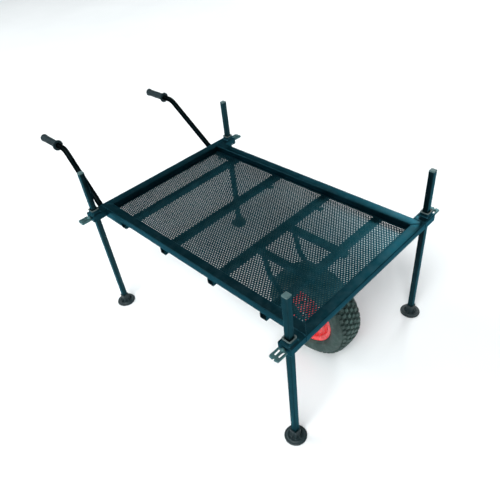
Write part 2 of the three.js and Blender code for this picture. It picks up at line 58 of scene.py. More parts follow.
def make_camera():
    azimuth, elevation, roll = map(math.radians, (CAMERA_AZIMUTH, CAMERA_ELEVATION, CAMERA_ROLL))
    back = Vector((
        math.sin(azimuth) * math.cos(elevation),
        -math.cos(azimuth) * math.cos(elevation),
        math.sin(elevation),
    ))
    level = Vector((math.cos(azimuth), math.sin(azimuth), 0))
    upright = back.cross(level)
    right = math.cos(roll) * level + math.sin(roll) * upright
    up = math.cos(roll) * upright - math.sin(roll) * level
    camera = show("camera", bpy.data.cameras.new("camera"))
    camera.data.lens = CAMERA_LENS
    camera.data.sensor_width = SENSOR_WIDTH
    camera.data.clip_end = 200
    camera.matrix_world = at(*CAMERA_AT) @ axes(right, up, back)
    bpy.context.scene.camera = camera


# ---- materials ----

class Nodes:
    """A material's node tree, with short ways to add and join nodes."""

    def __init__(self, name):
        self.material = bpy.data.materials.new(name)
        self.material.use_nodes = True
        self.tree = self.material.node_tree
        self.shader = self.tree.nodes["Principled BSDF"]
        self.place = self.add("ShaderNodeTexCoord").outputs["Object"]

    def add(self, kind, inputs=(), **settings):
        node = self.tree.nodes.new(kind)
        for key, value in settings.items():
            setattr(node, key, value)
        for key, value in dict(inputs).items():
            self.put(value, node.inputs[key])
        return node

    def put(self, value, socket):
        if isinstance(value, bpy.types.NodeSocket):
            self.tree.links.new(value, socket)
        else:
            socket.default_value = value

    def math(self, operation, a, b=0.0):
        return self.add("ShaderNodeMath", {0: a, 1: b}, operation=operation).outputs[0]

    def times(self, a, b):
        return self.math("MULTIPLY", a, b)

    def plus(self, a, b):
        return self.math("ADD", a, b)

    def ramp(self, value, low, high):
        """0 below low, 1 above high."""
        inputs = {"Value": value, "From Min": low, "From Max": high}
        return self.add("ShaderNodeMapRange", inputs, clamp=True).outputs["Result"]

    def noise(self, scale, detail=3.0, roughness=0.5, stretch=None):
        place = self.place
        if stretch:
            place = self.add("ShaderNodeMapping", {"Vector": place, "Scale": stretch}).outputs[0]
        inputs = {"Vector": place, "Scale": scale, "Detail": detail, "Roughness": roughness}
        return self.add("ShaderNodeTexNoise", inputs).outputs["Fac"]

    def patches(self, low, high, *noise):
        return self.ramp(self.noise(*noise), low, high)

    def uneven(self, least, spread, *noise):
        return self.plus(self.times(self.noise(*noise), spread), least)

    def mix(self, amount, a, b):
        return self.add("ShaderNodeMix", {"Factor": amount, 6: a, 7: b}, data_type="RGBA").outputs[2]

    def mottled(self, color, dark, light, *patches):
        """A colour in clouds, between a darker and a lighter shade of it."""
        return self.mix(self.patches(*patches), shade(color, dark), shade(color, light))

    def edges(self, radius):
        """Where the surface bends within radius: 1 on sharp edges, 0 on flats."""
        rounded = self.add("ShaderNodeBevel", {"Radius": radius}, samples=4).outputs["Normal"]
        true_normal = self.add("ShaderNodeNewGeometry").outputs["Normal"]
        dot = self.add("ShaderNodeVectorMath", {0: rounded, 1: true_normal}, operation="DOT_PRODUCT")
        return self.ramp(self.math("SUBTRACT", 1.0, dot.outputs["Value"]), 0.04, 0.35)

    def facing_up(self):
        normal = self.add("ShaderNodeNewGeometry").outputs["Normal"]
        return self.ramp(self.add("ShaderNodeSeparateXYZ", {"Vector": normal}).outputs["Z"], 0.5, 1.0)

    def bump(self, *heights):
        """Heights as (value, metres), one laid over another."""
        below = {}
        for value, distance in heights:
            inputs = {"Height": value, "Distance": distance, "Strength": 1.0, **below}
            below = {"Normal": self.add("ShaderNodeBump", inputs).outputs["Normal"]}
        self.put(below["Normal"], self.shader.inputs["Normal"])

    def finish(self, **sockets):
        for key, value in sockets.items():
            self.put(value, self.shader.inputs[key.replace("_", " ")])
        return self.material


def shade(color, factor):
    return tuple(min(1.0, channel * factor) for channel in color[:3]) + (1.0,)


def powder_coat(name, color, wear_and_highlight_color, roughness=0.36, metallic=0.95, scratches=0.0,
                tint=(0.30, 0.62, 0.72, 1), coat=0.04):
    """Metallic powder coat: orange peel, uneven tone, a little dust on top faces, edges lighter from wear by
    rubbing and from a painted highlight.
    """
    n = Nodes(name)
    tone = n.mottled(color, 0.80, 1.20, 0.3, 0.7, 9, 4, 0.6)
    # edges lighter: partly wear from rubbing, partly a painted highlight along the rounded edges
    edge_wear_and_highlight = n.times(n.times(n.edges(0.0016), n.patches(0.42, 0.64, 70, 5, 0.7)), 0.7)
    if scratches:
        lines = n.times(n.patches(0.60, 0.66, 150, 2, 0.5, (1, 1, 0.03)), n.patches(0.45, 0.6, 12, 2))
        edge_wear_and_highlight = n.math("MAXIMUM", edge_wear_and_highlight, n.times(lines, scratches))
    # the lighter colour on edges and scratches: real wear, with painted highlight on the edges
    tone = n.mix(edge_wear_and_highlight, tone, wear_and_highlight_color)
    dust = n.times(n.facing_up(), n.patches(0.42, 0.75, 26, 6, 0.65))
    tone = n.mix(n.times(dust, 0.05), tone, (0.30, 0.36, 0.36, 1))
    rough = n.plus(n.times(n.patches(0.2, 0.8, 34, 4, 0.6), 0.12), roughness - 0.06)
    rough = n.plus(rough, n.times(dust, 0.15))
    n.bump((n.noise(620, 2, 0.5), 0.00010), (n.noise(2600, 2, 0.6), 0.00002))
    return n.finish(Base_Color=tone, Roughness=rough, Metallic=metallic,
                    Specular_Tint=tint, Coat_Weight=coat, Coat_Roughness=0.25)


def moulded_plastic(name, color, roughness=0.55):
    n = Nodes(name)
    tone = n.mottled(color, 0.85, 1.12, 0.3, 0.7, 30, 4, 0.6)
    scuffed = n.times(n.edges(0.0015), n.patches(0.45, 0.65, 120, 4, 0.7))
    tone = n.mix(n.times(scuffed, 0.35), tone, shade(color, 2.2))
    n.bump((n.noise(900, 3, 0.6), 0.00009))
    return n.finish(Base_Color=tone, Roughness=n.uneven(roughness - 0.1, 0.2, 60, 3), Specular_IOR_Level=0.4)


def grip_rubber(name):
    n = Nodes(name)
    tone = n.mottled((0.003, 0.014, 0.018), 0.8, 1.5, 0.35, 0.7, 55, 5, 0.65)
    n.bump((n.noise(700, 3, 0.7), 0.00012))
    return n.finish(Base_Color=tone, Roughness=n.uneven(0.5, 0.2, 90, 3), Specular_IOR_Level=0.22)


def tyre_rubber(name, centre, radius):
    """Black rubber, lighter in patches on the tread's tops from wear, with patches of dust."""
    n = Nodes(name)
    x, z = (n.add("ShaderNodeSeparateXYZ", {"Vector": n.place}).outputs[k] for k in ("X", "Z"))
    dx, dz = n.math("SUBTRACT", x, centre.x), n.math("SUBTRACT", z, centre.z)
    tops = n.ramp(n.math("SQRT", n.plus(n.times(dx, dx), n.times(dz, dz))), radius - 0.004, radius)
    color = (0.024, 0.052, 0.047)
    tone = n.mottled(color, 0.8, 1.3, 0.35, 0.65, 14, 5, 0.6)
    tone = n.mix(n.times(tops, n.patches(0.3, 0.6, 60, 4, 0.7)), tone, shade(color, 2.3))
    tone = n.mix(n.times(n.patches(0.46, 0.7, 40, 6, 0.7), 0.28), tone, (0.15, 0.21, 0.18, 1))
    n.bump((n.noise(420, 4, 0.7), 0.00025), (n.noise(60, 3), 0.0004))
    return n.finish(Base_Color=tone, Roughness=n.uneven(0.55, 0.22, 45, 4), Specular_IOR_Level=0.4)


def enamel(name, color):
    """Glossy sprayed enamel with small chips on its edges."""
    n = Nodes(name)
    tone = n.mottled(color, 0.85, 1.1, 0.3, 0.7, 16, 3)
    tone = n.mix(n.times(n.edges(0.002), n.patches(0.54, 0.58, 160, 5, 0.7)), tone, (0.20, 0.17, 0.16, 1))
    film = n.patches(0.5, 0.8, 24, 6, 0.7)
    tone = n.mix(n.times(film, 0.06), tone, (0.55, 0.30, 0.26, 1))
    rough = n.plus(n.times(film, 0.25), 0.27)
    n.bump((n.noise(380, 2), 0.0001))
    return n.finish(Base_Color=tone, Roughness=rough, Coat_Weight=0.5, Coat_Roughness=0.12)


def plated_steel(name, color, roughness):
    """Zinc plate: cloudy, faintly streaked, a little dull in places."""
    n = Nodes(name)
    tone = n.mottled(color, 0.8, 1.1, 0.3, 0.7, 80, 4, 0.6)
    n.bump((n.noise(900, 3, 0.6, (1, 0.15, 1)), 0.00003))
    return n.finish(Base_Color=tone, Roughness=n.uneven(roughness, 0.3, 140, 4, 0.7), Metallic=1.0)


def floor_material():
    n = Nodes("pale_floor")
    tone = n.mix(n.patches(0.3, 0.7, 1.5, 3), (0.87, 0.91, 0.92, 1), (0.90, 0.94, 0.95, 1))
    return n.finish(Base_Color=tone, Roughness=0.85, Specular_IOR_Level=0.1)


# ---- shapes: a shape is a pair of lists, its points and its faces ----

def joined(*shapes):
    points, faces = [], []
    for shape_points, shape_faces in shapes:
        start = len(points)
        points += shape_points
        faces += [tuple(start + i for i in face) for face in shape_faces]
    return points, faces


def moved(shape, matrix):
    return [matrix @ Vector(p) for p in shape[0]], shape[1]


def at(x, y, z):
    return Matrix.Translation((x, y, z))


def axes(x_axis, y_axis, z_axis):
    return Matrix((x_axis, y_axis, z_axis)).transposed().to_4x4()


def lathe(profile, segments=64):
    """A profile of (radius, height) turned about Z. It closes on itself unless it ends on the axis."""
    points, rows = [], []
    for radius, height in profile:
        if radius < TINY:
            rows.append([len(points)] * segments)
            points.append(Vector((0, 0, height)))
            continue
        rows.append(list(range(len(points), len(points) + segments)))
        points += [p + Z * height for p in circle(radius, segments)]
    pairs = list(zip(rows, rows[1:]))
    if profile[0][0] > TINY and profile[-1][0] > TINY:
        pairs.append((rows[-1], rows[0]))
    faces = []
    for low, high in pairs:
        for i in range(segments):
            j = (i + 1) % segments
            face = [low[i], low[j], high[j], high[i]]
            face = [v for k, v in enumerate(face) if v != face[k - 1]]
            if len(face) > 2:
                faces.append(tuple(face))
    return points, faces


def rounded_profile(corners, radius, steps=4):
    """A profile whose inner corners are turned into small arcs. The ends stay as they are."""
    corners = [Vector(c) for c in corners]
    out = [corners[0]]
    for before, corner, after in zip(corners, corners[1:], corners[2:]):
        reach = min(radius, (before - corner).length * 0.45, (after - corner).length * 0.45)
        start = corner + (before - corner).normalized() * reach
        end = corner + (after - corner).normalized() * reach
        for i in range(steps + 1):
            t = i / steps
            out.append(start.lerp(corner, t).lerp(corner.lerp(end, t), t))
    out.append(corners[-1])
    return [tuple(p) for p in out]


def turned(corners, rounding, steps, segments):
    return lathe(rounded_profile(corners, rounding, steps), segments)


def rounded_rectangle(width, height, corner, steps=5):
    points = []
    for quarter, (sx, sy) in enumerate(((1, 1), (-1, 1), (-1, -1), (1, -1))):
        for i in range(steps + 1):
            a = math.pi / 2 * (quarter + i / steps)
            x = sx * (width / 2 - corner) + corner * math.cos(a)
            y = sy * (height / 2 - corner) + corner * math.sin(a)
            points.append(Vector((x, y, 0)))
    return points


def squares(levels, place):
    """Rounded squares about a vertical line through place, from levels of (width, corner, height)."""
    return [[p + Vector((place.x, place.y, z)) for p in rounded_rectangle(w, w, r)] for w, r, z in levels]


def circle(radius, count):
    angles = (TURN * i / count for i in range(count))
    return [Vector((radius * math.cos(a), radius * math.sin(a), 0)) for a in angles]


def frames_along(path, first_up):
    """A (place, side, up) frame at each point of a path, each turned as little as possible from the last."""
    path = [Vector(p) for p in path]
    tangents = []
    for i in range(len(path)):
        before, after = path[max(i - 1, 0)], path[min(i + 1, len(path) - 1)]
        tangents.append((after - before).normalized())
    up = (first_up - tangents[0] * first_up.dot(tangents[0])).normalized()
    frames = []
    for i, point in enumerate(path):
        if i:
            up = tangents[i - 1].rotation_difference(tangents[i]) @ up
        frames.append((point, up.cross(tangents[i]), up))
    return frames


def rings(path, section, up, scales=None):
    scales = scales or [1.0] * len(path)
    return [
        [place + (side * p.x + over * p.y) * scale for p in section]
        for (place, side, over), scale in zip(frames_along(path, up), scales)
    ]


def skin(ring_list):
    count = len(ring_list[0])
    points = [p for ring in ring_list for p in ring]
    faces = []
    for row in range(len(ring_list) - 1):
        for i in range(count):
            j = (i + 1) % count
            a, b = row * count, (row + 1) * count
            faces.append((a + i, a + j, b + j, b + i))
    return points, faces


def capped(ring_list):
    """A skin closed over its first and last rings."""
    points, faces = skin(ring_list)
    count = len(ring_list[0])
    last = len(points) - count
    return points, faces + [tuple(range(count)), tuple(last + i for i in range(count))]


def bar(path, section, up=Z, scales=None):
    """A solid bar of that section along a path, closed at both ends."""
    return capped(rings(path, section, up, scales))


def tube(path, outer, inner, up=Z):
    """An open tube: outer and inner are sections with the same number of points."""
    outside, inside = rings(path, outer, up), rings(path, inner, up)
    shape = joined(skin(outside), skin(inside))
    count, start = len(outer), len(outside) * len(outer)
    for row in (0, len(outside) - 1):
        for i in range(count):
            j = (i + 1) % count
            a = row * count
            shape[1].append((a + i, a + j, start + a + j, start + a + i))
    return shape


def box_section(width, height, wall, corner):
    outer = rounded_rectangle(width, height, corner)
    inner = rounded_rectangle(width - 2 * wall, height - 2 * wall, max(corner - wall, 0.0006))
    return outer, inner


def bent(corners, radius, steps):
    """A path of straight stretches joined by arcs of one radius."""
    corners = [Vector(c) for c in corners]
    path = [corners[0]]
    for before, corner, after in zip(corners, corners[1:], corners[2:]):
        back, on = (before - corner).normalized(), (after - corner).normalized()
        turn = math.pi - back.angle(on)
        middle = (back + on).normalized()
        centre = corner + middle * radius / math.cos(turn / 2)
        start = corner + back * radius * math.tan(turn / 2) - centre
        end = corner + on * radius * math.tan(turn / 2) - centre
        for i in range(steps + 1):
            path.append(centre + start.slerp(end, i / steps).normalized() * radius)
    path.append(corners[-1])
    return path


BEAD_RIPPLE = 0.0032


def bead(path, radius, seed):
    """A weld bead: a low rounded ridge whose thickness ripples along its length."""
    path = [Vector(p) for p in path]
    fine = [path[0]]
    for a, b in zip(path, path[1:]):
        steps = max(2, round((b - a).length / (BEAD_RIPPLE / 4)))
        fine += [a.lerp(b, i / steps) for i in range(1, steps + 1)]
    scales, travelled = [], 0.0
    for i, point in enumerate(fine):
        travelled += (point - fine[i - 1]).length if i else 0
        wave = 0.5 + 0.5 * math.sin(TURN * travelled / BEAD_RIPPLE)
        uneven = noise(Vector((travelled * 160, seed * 7.3, 0)))
        ends = min(1.0, 0.45 + 0.25 * min(i, len(fine) - 1 - i))
        scales.append((0.86 + 0.16 * wave + 0.10 * uneven) * ends)
    up = X if abs((fine[1] - fine[0]).normalized().z) > 0.9 else Z
    return bar(fine, circle(radius, 8), up, scales)


def nut(radius, bore, thickness):
    """A six-sided nut about Z from 0 to thickness, its corners taken off as a real nut's are."""
    chamfer = 0.12 * radius * 0.6
    flat = radius * math.cos(math.pi / 6)
    directions = circle(1, 36)
    angles = (TURN * i / 36 for i in range(36))
    reaches = [flat / math.cos((a + math.pi / 6) % (math.pi / 3) - math.pi / 6) for a in angles]
    blunt = flat * 1.02
    levels = ((0.0, blunt), (chamfer, radius), (thickness - chamfer, radius), (thickness, blunt))
    ring_list = [
        [d * min(reach, limit) + Z * z for d, reach in zip(directions, reaches)] for z, limit in levels
    ]
    ring_list += [[d * bore + Z * z for d in directions] for z in (thickness, 0.0)]
    return skin(ring_list + ring_list[:1])


# ---- pieces ----

def mesh_of(name, shape, merge=False):
    mesh = bpy.data.meshes.new(name)
    mesh.from_pydata([tuple(p) for p in shape[0]], [], shape[1])
    work = bmesh.new()
    work.from_mesh(mesh)
    if merge:
        bmesh.ops.remove_doubles(work, verts=work.verts, dist=1e-6)
    bmesh.ops.recalc_face_normals(work, faces=work.faces)
    work.to_mesh(mesh)
    work.free()
    return mesh


def ridden(name, mesh, material, body, replaces, bevel=0.0, sharp=0):
    """Puts a mesh into the scene as a smooth-shaded piece on a body."""
    mesh.polygons.foreach_set("use_smooth", [True] * len(mesh.polygons))
    mesh.materials.append(material)
    obj = show(name, mesh)
    if sharp:
        mesh.set_sharp_from_angle(angle=math.radians(sharp))
    if bevel:
        modifier = obj.modifiers.new("soft_edges", "BEVEL")
        modifier.width = bevel
        modifier.segments = 3
        modifier.limit_method = "ANGLE"
        modifier.angle_limit = math.radians(sharp)
        modifier.harden_normals = True
    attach(obj, body)
    if replaces:
        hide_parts(*replaces)


def piece(name, shape, material, body, slot, replaces=(), bevel=0.0, sharp=32):
    """Makes a piece of a shape, after cleaning its mesh."""
    ridden(name, mesh_of(name, shape, merge=True), material, body, replaces, bevel, sharp)


def frame_piece(name, shape, paint, replaces=(), bevel=0.0, sharp=32):
    piece(name, shape, paint, "platform", "frame_paint", replaces, bevel, sharp)


def cast(name, shape, voxel, smooth):
    """A mesh for a casting: its overlapping solids fused by a fine remesh, and its corners filleted."""
    obj = show(name, mesh_of(name, shape))
    remesh = obj.modifiers.new("fuse", "REMESH")
    remesh.mode = "VOXEL"
    remesh.voxel_size = voxel
    soften = obj.modifiers.new("fillet", "SMOOTH")
    soften.factor = 0.5
    soften.iterations = smooth
    made = bpy.data.meshes.new_from_object(obj.evaluated_get(bpy.context.evaluated_depsgraph_get()))
    bpy.data.objects.remove(obj)
    return made


def placed(name, mesh, matrix, material, body, replaces):
    """A piece that shares one mesh with its twins: the mesh is copied and moved into the row frame."""
    own = mesh.copy()
    own.transform(matrix)
    own.name = name
    ridden(name, own, material, body, replaces)


def middle(node):
    low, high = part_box(node)
    return (low + high) / 2


def length(node, axis):
    low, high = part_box(node)
    return high[axis] - low[axis]


# ---- deck ----

RAIL_WALL, RAIL_CORNER = 0.002, 0.003
BAR_WALL, BAR_CORNER = 0.0015, 0.003
CROSS_BARS = (1, 2, 3, 4)


def mitred_rail(node, along_x, outward):
    """A rail of the deck frame. Its ends are cut at 45 degrees, and outward is its long side."""
    low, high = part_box(node)
    span = high - low
    width, long_side = (span.y, span.x) if along_x else (span.x, span.y)
    points, faces = tube([(0, 0, 0), (1, 0, 0)], *box_section(width, span.z, RAIL_WALL, RAIL_CORNER))
    shaped = []
    for p in points:
        inset = width / 2 - outward * p.y
        shaped.append(((1 if p.x > 0.5 else -1) * (long_side / 2 - inset), p.y, p.z))
    turn = Matrix.Identity(4) if along_x else Matrix.Rotation(-math.pi / 2, 4, "Z")
    return moved((shaped, faces), at(*middle(node)) @ turn)


def make_deck_frame(paint):
    for kind, ends in (("side_rail", SIDES), ("end_rail", {"front": 1, "rear": -1})):
        for end, sign in ends.items():
            node = f"{kind}_{end}"
            frame_piece(f"{node}_tube", mitred_rail(node, kind == "side_rail", sign), paint, [node])


def straight_tube(node, axis, wall, corner):
    """A box tube that fills a node's box along an axis, 0 to 2."""
    low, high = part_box(node)
    ends = middle(node), middle(node)
    ends[0][axis], ends[1][axis] = low[axis], high[axis]
    sides = [side for k, side in enumerate(high - low) if k != axis]
    return tube(ends, *box_section(*sides, wall, corner), Y if axis == 2 else Z)


def make_cross_bars(paint):
    low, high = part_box("cross_bar_1")  # two of the others carry a nut, so their sizes come from this one
    span = high - low
    end = -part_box("side_rail_right")[0].y
    for i in CROSS_BARS:
        node = f"cross_bar_{i}"
        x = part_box(node)[0].x + span.x / 2
        path = [(x, y, (low.z + high.z) / 2) for y in (-end, end)]
        shape = tube(path, *box_section(span.x, span.z, BAR_WALL, BAR_CORNER))
        frame_piece(f"{node}_tube", shape, paint, [node], SOFT_EDGE)


MESH_ALONG, MESH_ACROSS = 0.0114, 0.0172  # the diamonds' lengths
MESH_MARGIN = 0.003  # from the sheet's edge to its outermost diamonds
STRAND = 0.0047
BLUNT = 0.16  # how much the openings' corners are rounded off
EDGING = 0.009
EDGING_TUCK = 0.002  # how far the edging runs in under the rails' rounded lower edges


def spot(x, y):
    return round(x * 1e7), round(y * 1e7)


def diamond_mesh(low, high):
    """Expanded metal between two corners: diamond openings in a staggered lattice."""
    columns = round((high.x - low.x) / MESH_ALONG)
    rows = round((high.y - low.y) / MESH_ACROSS)
    half_x, half_y = (high.x - low.x) / columns / 2, (high.y - low.y) / rows / 2
    inset = STRAND / 2 * math.hypot(half_x, half_y) / (half_x * half_y)  # share of a half diagonal
    corners = ((1, 0), (0, 1), (-1, 0), (0, -1))
    around = []  # eight places round a diamond, as shares of its half diagonals
    for a, b in zip(corners, corners[1:] + corners[:1]):
        around += [a, ((a[0] + b[0]) / 2, (a[1] + b[1]) / 2)]
    points, faces, known = [], [], {}

    def point(x, y, z):
        key = (*spot(x, y), z == high.z)
        if key not in known:
            known[key] = len(points)
            points.append((x, y, z))
        return known[key]

    for i in range(1, 2 * columns):
        for j in range(1, 2 * rows):
            if (i + j) % 2:
                continue
            cx, cy = low.x + i * half_x, low.y + j * half_y
            edge, hole = {}, {}
            for z in (low.z, high.z):
                edge[z] = [point(cx + u * half_x, cy + v * half_y, z) for u, v in around]
                hole[z] = []
                for k, (u, v) in enumerate(around):
                    scale = (1 - inset) * (1 - BLUNT if k % 2 == 0 else 1)
                    hole[z].append(point(cx + u * scale * half_x, cy + v * scale * half_y, z))
            for k in range(8):
                m = (k + 1) % 8
                faces.append((edge[high.z][k], edge[high.z][m], hole[high.z][m], hole[high.z][k]))
                faces.append((edge[low.z][m], edge[low.z][k], hole[low.z][k], hole[low.z][m]))
                faces.append((hole[high.z][k], hole[high.z][m], hole[low.z][m], hole[low.z][k]))
    return points, faces


def closed_rim(shape):
    """Adds walls along the open outer edge between a sheet's two faces."""
    points, faces = shape
    used = dict.fromkeys(edge for face in faces for edge in zip(face, face[1:] + face[:1]))
    top = max(p[2] for p in points)
    twins = {}
    for index, (x, y, z) in enumerate(points):
        twins.setdefault(spot(x, y), {})[z == top] = index
    walls = []
    for a, b in used:
        if (b, a) not in used and points[a][2] == top:
            walls.append((b, a, *(twins[spot(*points[i][:2])][False] for i in (a, b))))
    return points, faces + walls


def make_deck_sheet(paint):
    low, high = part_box("deck_mesh")
    margin = Vector((MESH_MARGIN, MESH_MARGIN, 0))
    sheet = closed_rim(diamond_mesh(low + margin, high - margin))
    piece("deck_mesh_sheet", sheet, paint, "platform", "deck_paint", ["deck_mesh"])
    strips = []
    section = rounded_rectangle(EDGING, high.z - low.z + 0.0006, 0.0005, 2)
    z = (low.z + high.z) / 2
    reach = high.y - EDGING - GAP
    for sign in (-1, 1):
        y = sign * ((high.y - low.y) / 2 - EDGING / 2 + EDGING_TUCK)
        strips.append(bar([(low.x, y, z), (high.x, y, z)], section))
        x = (low.x + high.x) / 2 + sign * ((high.x - low.x) / 2 - EDGING / 2 + EDGING_TUCK)
        strips.append(bar([(x, -reach, z), (x, reach, z)], section))
    piece("deck_mesh_edging", joined(*strips), paint, "platform", "deck_paint")


# ---- leg brackets ----

SLEEVE_WIDTH, SLEEVE_WALL, SLEEVE_CORNER = 0.034, 0.0025, 0.005
SLEEVE_BORE = SLEEVE_WIDTH - 2 * SLEEVE_WALL
BEYOND_LEG = 0.026  # from a leg's middle to the bracket's outer end
NUT_RADIUS, NUT_THICKNESS = 0.008, 0.007
SCREW_RADIUS = 0.004
BUSH_HOLE, BUSH_FLANGE = 0.025, 0.004


def bracket_mesh():
    """A casting about the leg's middle, its arm towards -Y: a block with a square sleeve rising from it."""
    low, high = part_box("leg_bracket_front_left")
    rail_low, rail_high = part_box("side_rail_left")
    under, top = rail_low.z, rail_high.z
    width, around = high.x - low.x, 2 * BEYOND_LEG
    levels = [  # along X, along Y, corner, height
        (width - 0.0016, around - 0.0016, 0.0045, under),
        (width, around, 0.0050, under + 0.0012),
        (width, around, 0.0050, top - 0.0030),
        (width - 0.0018, around - 0.0018, 0.0050, top - 0.0006),
        (width - 0.0050, around - 0.0050, 0.0060, top),
        (0.0415, 0.0405, 0.0070, top + 0.0006),
        (0.0375, 0.0370, 0.0060, top + 0.0036),
        (SLEEVE_WIDTH + 0.0008, SLEEVE_WIDTH + 0.0008, SLEEVE_CORNER, top + 0.0078),
        (SLEEVE_WIDTH, SLEEVE_WIDTH, SLEEVE_CORNER, high.z),
        (SLEEVE_BORE, SLEEVE_BORE, 0.0025, high.z),
        (SLEEVE_BORE, SLEEVE_BORE, 0.0025, under),
    ]
    ring_list = [[p + Z * z for p in rounded_rectangle(w, d, corner)] for w, d, corner, z in levels]
    arm_start = low.y - middle("leg_front_left").y
    arm = bar(
        [(0, y, (under + top) / 2) for y in (arm_start, -SLEEVE_BORE / 2 - 0.0006)],
        rounded_rectangle(width, top - under, 0.0035),
    )
    return cast("bracket", joined(skin(ring_list + ring_list[:1]), arm), voxel=0.0009, smooth=4)


def make_leg_brackets(paint, plastic):
    casting = bracket_mesh()
    for corner, sy in CORNERS.items():
        node = f"leg_bracket_{corner}"
        leg = middle(f"leg_{corner}")
        turn = at(leg.x, leg.y, 0) @ Matrix.Rotation(0 if sy > 0 else math.pi, 4, "Z")
        placed(f"{node}_casting", casting, turn, paint, "platform", [node])
        make_bush(f"leg_bush_{corner}", leg, plastic)


def make_bush(node, leg, plastic):
    """The plastic liner: a rounded square flange on the sleeve, dished towards its square hole."""
    low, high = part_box(node)
    width, inside, seat = high.x - low.x, SLEEVE_BORE - 2 * GAP, high.z - BUSH_FLANGE
    levels = [
        (width - 0.0012, 0.0058, seat), (width, 0.0064, seat + 0.0006),
        (width, 0.0064, high.z - 0.0012), (width - 0.0008, 0.0060, high.z - 0.0004),
        (width - 0.0024, 0.0052, high.z), (BUSH_HOLE + 0.0050, 0.0036, high.z),
        (BUSH_HOLE + 0.0020, 0.0022, high.z - 0.0008), (BUSH_HOLE, 0.0012, high.z - 0.0028),
        (BUSH_HOLE, 0.0012, low.z), (inside, 0.0022, low.z), (inside, 0.0022, seat),
        (width - 0.0012, 0.0058, seat),
    ]
    piece(f"{node}_liner", skin(squares(levels, leg)), plastic, "platform", "bush_plastic", [node])


# ---- legs ----

LEG_WALL, LEG_CORNER = 0.0015, 0.0025


def make_legs(paint, cap_plastic, foot_plastic):
    foot = foot_mesh()
    for corner in CORNERS:
        body, cap_node, foot_node = f"leg_{corner}", f"leg_cap_{corner}", f"foot_{corner}"
        shape = straight_tube(body, 2, LEG_WALL, LEG_CORNER)
        piece(f"{body}_tube", shape, paint, body, "leg_paint", [body], SOFT_EDGE)

        low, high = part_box(cap_node)
        width, head = high.x - low.x, high.z - 0.005
        stem = width - 2 * LEG_WALL - 4 * GAP
        levels = [
            (stem - 0.003, 0.001, low.z), (stem, 0.0015, low.z + 0.002), (stem, 0.0015, head),
            (width - 0.0006, 0.0022, head), (width, 0.0024, head + 0.0005),
            (width, 0.0024, high.z - 0.0014), (width - 0.0008, 0.0022, high.z - 0.0005),
            (width - 0.0024, 0.0020, high.z), (width - 0.0080, 0.0018, high.z),
        ]
        plug = capped(squares(levels, middle(cap_node)))
        piece(f"{cap_node}_plug", plug, cap_plastic, body, "cap_plastic", [cap_node], sharp=50)

        where = at(*middle(foot_node).xy, 0)
        placed(f"{foot_node}_pad", foot, where, foot_plastic, body, [foot_node])


FOOT_COLLAR, FOOT_WELL, FOOT_FLOOR = 0.030, 0.0226, 0.008
WEB_INNER, WEB_OUTER, WEB_HALF = 0.0135, 0.0285, 0.0011
WEB_FOOT, WEB_TOP, WEB_TOE = 0.005, 0.030, 0.0100  # heights


def foot_mesh():
    """A round moulded pad with a raised ring, and a square collar held by four webs."""
    low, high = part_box("foot_front_left")
    radius, top = (high.x - low.x) / 2, high.z
    pad = turned([
        (0, 0.0012), (radius * 0.42, 0.0012), (radius * 0.46, 0), (radius - 0.0028, 0), (radius, 0.0024),
        (radius, 0.0052), (radius - 0.0026, 0.0074), (0.0330, 0.0074), (0.0312, 0.0104),
        (0.0262, 0.0104), (0.0244, 0.0072), (0.0170, 0.0072), (0, 0.0072),
    ], 0.0011, 4, 96)
    collar = rounded_rectangle(FOOT_COLLAR, FOOT_COLLAR, 0.004, 6)
    well = rounded_rectangle(FOOT_WELL, FOOT_WELL, 0.002, 6)
    levels = [
        (collar, 1.16, 0.004), (collar, 1.05, 0.0095), (collar, 1.0, 0.016), (collar, 1.0, top - 0.0016),
        (collar, 0.985, top - 0.0004), (collar, 0.95, top), (well, 1.06, top), (well, 1.0, top - 0.0014),
        (well, 1.0, FOOT_FLOOR),
    ]
    shapes = [pad, capped([[Vector((p.x * scale, p.y * scale, z)) for p in row] for row, scale, z in levels])]
    outline = ((-1, WEB_FOOT), (1, WEB_FOOT), (1, 1), (-1, 1))
    section = [Vector((side * WEB_HALF, z, 0)) for side, z in outline]
    points, faces = bar([(WEB_INNER, 0, 0), (WEB_OUTER, 0, 0)], section)
    for p in points:
        if p.z > 0.5:
            p.z = WEB_TOP if p.x < 0.02 else WEB_TOE
    for quarter in range(4):
        shapes.append(moved((points, faces), Matrix.Rotation(quarter * math.pi / 2, 4, "Z")))
    return cast("foot", joined(*shapes), voxel=0.0009, smooth=3)


# ---- clamp screws ----

BIG_WING = {"half": 0.019, "length": 0.044, "thickness": 0.009, "stem": 0.005, "loop": (0.007, 0.026)}
SMALL_WING = {"half": 0.0115, "length": 0.026, "thickness": 0.005, "stem": 0.0036, "loop": None}


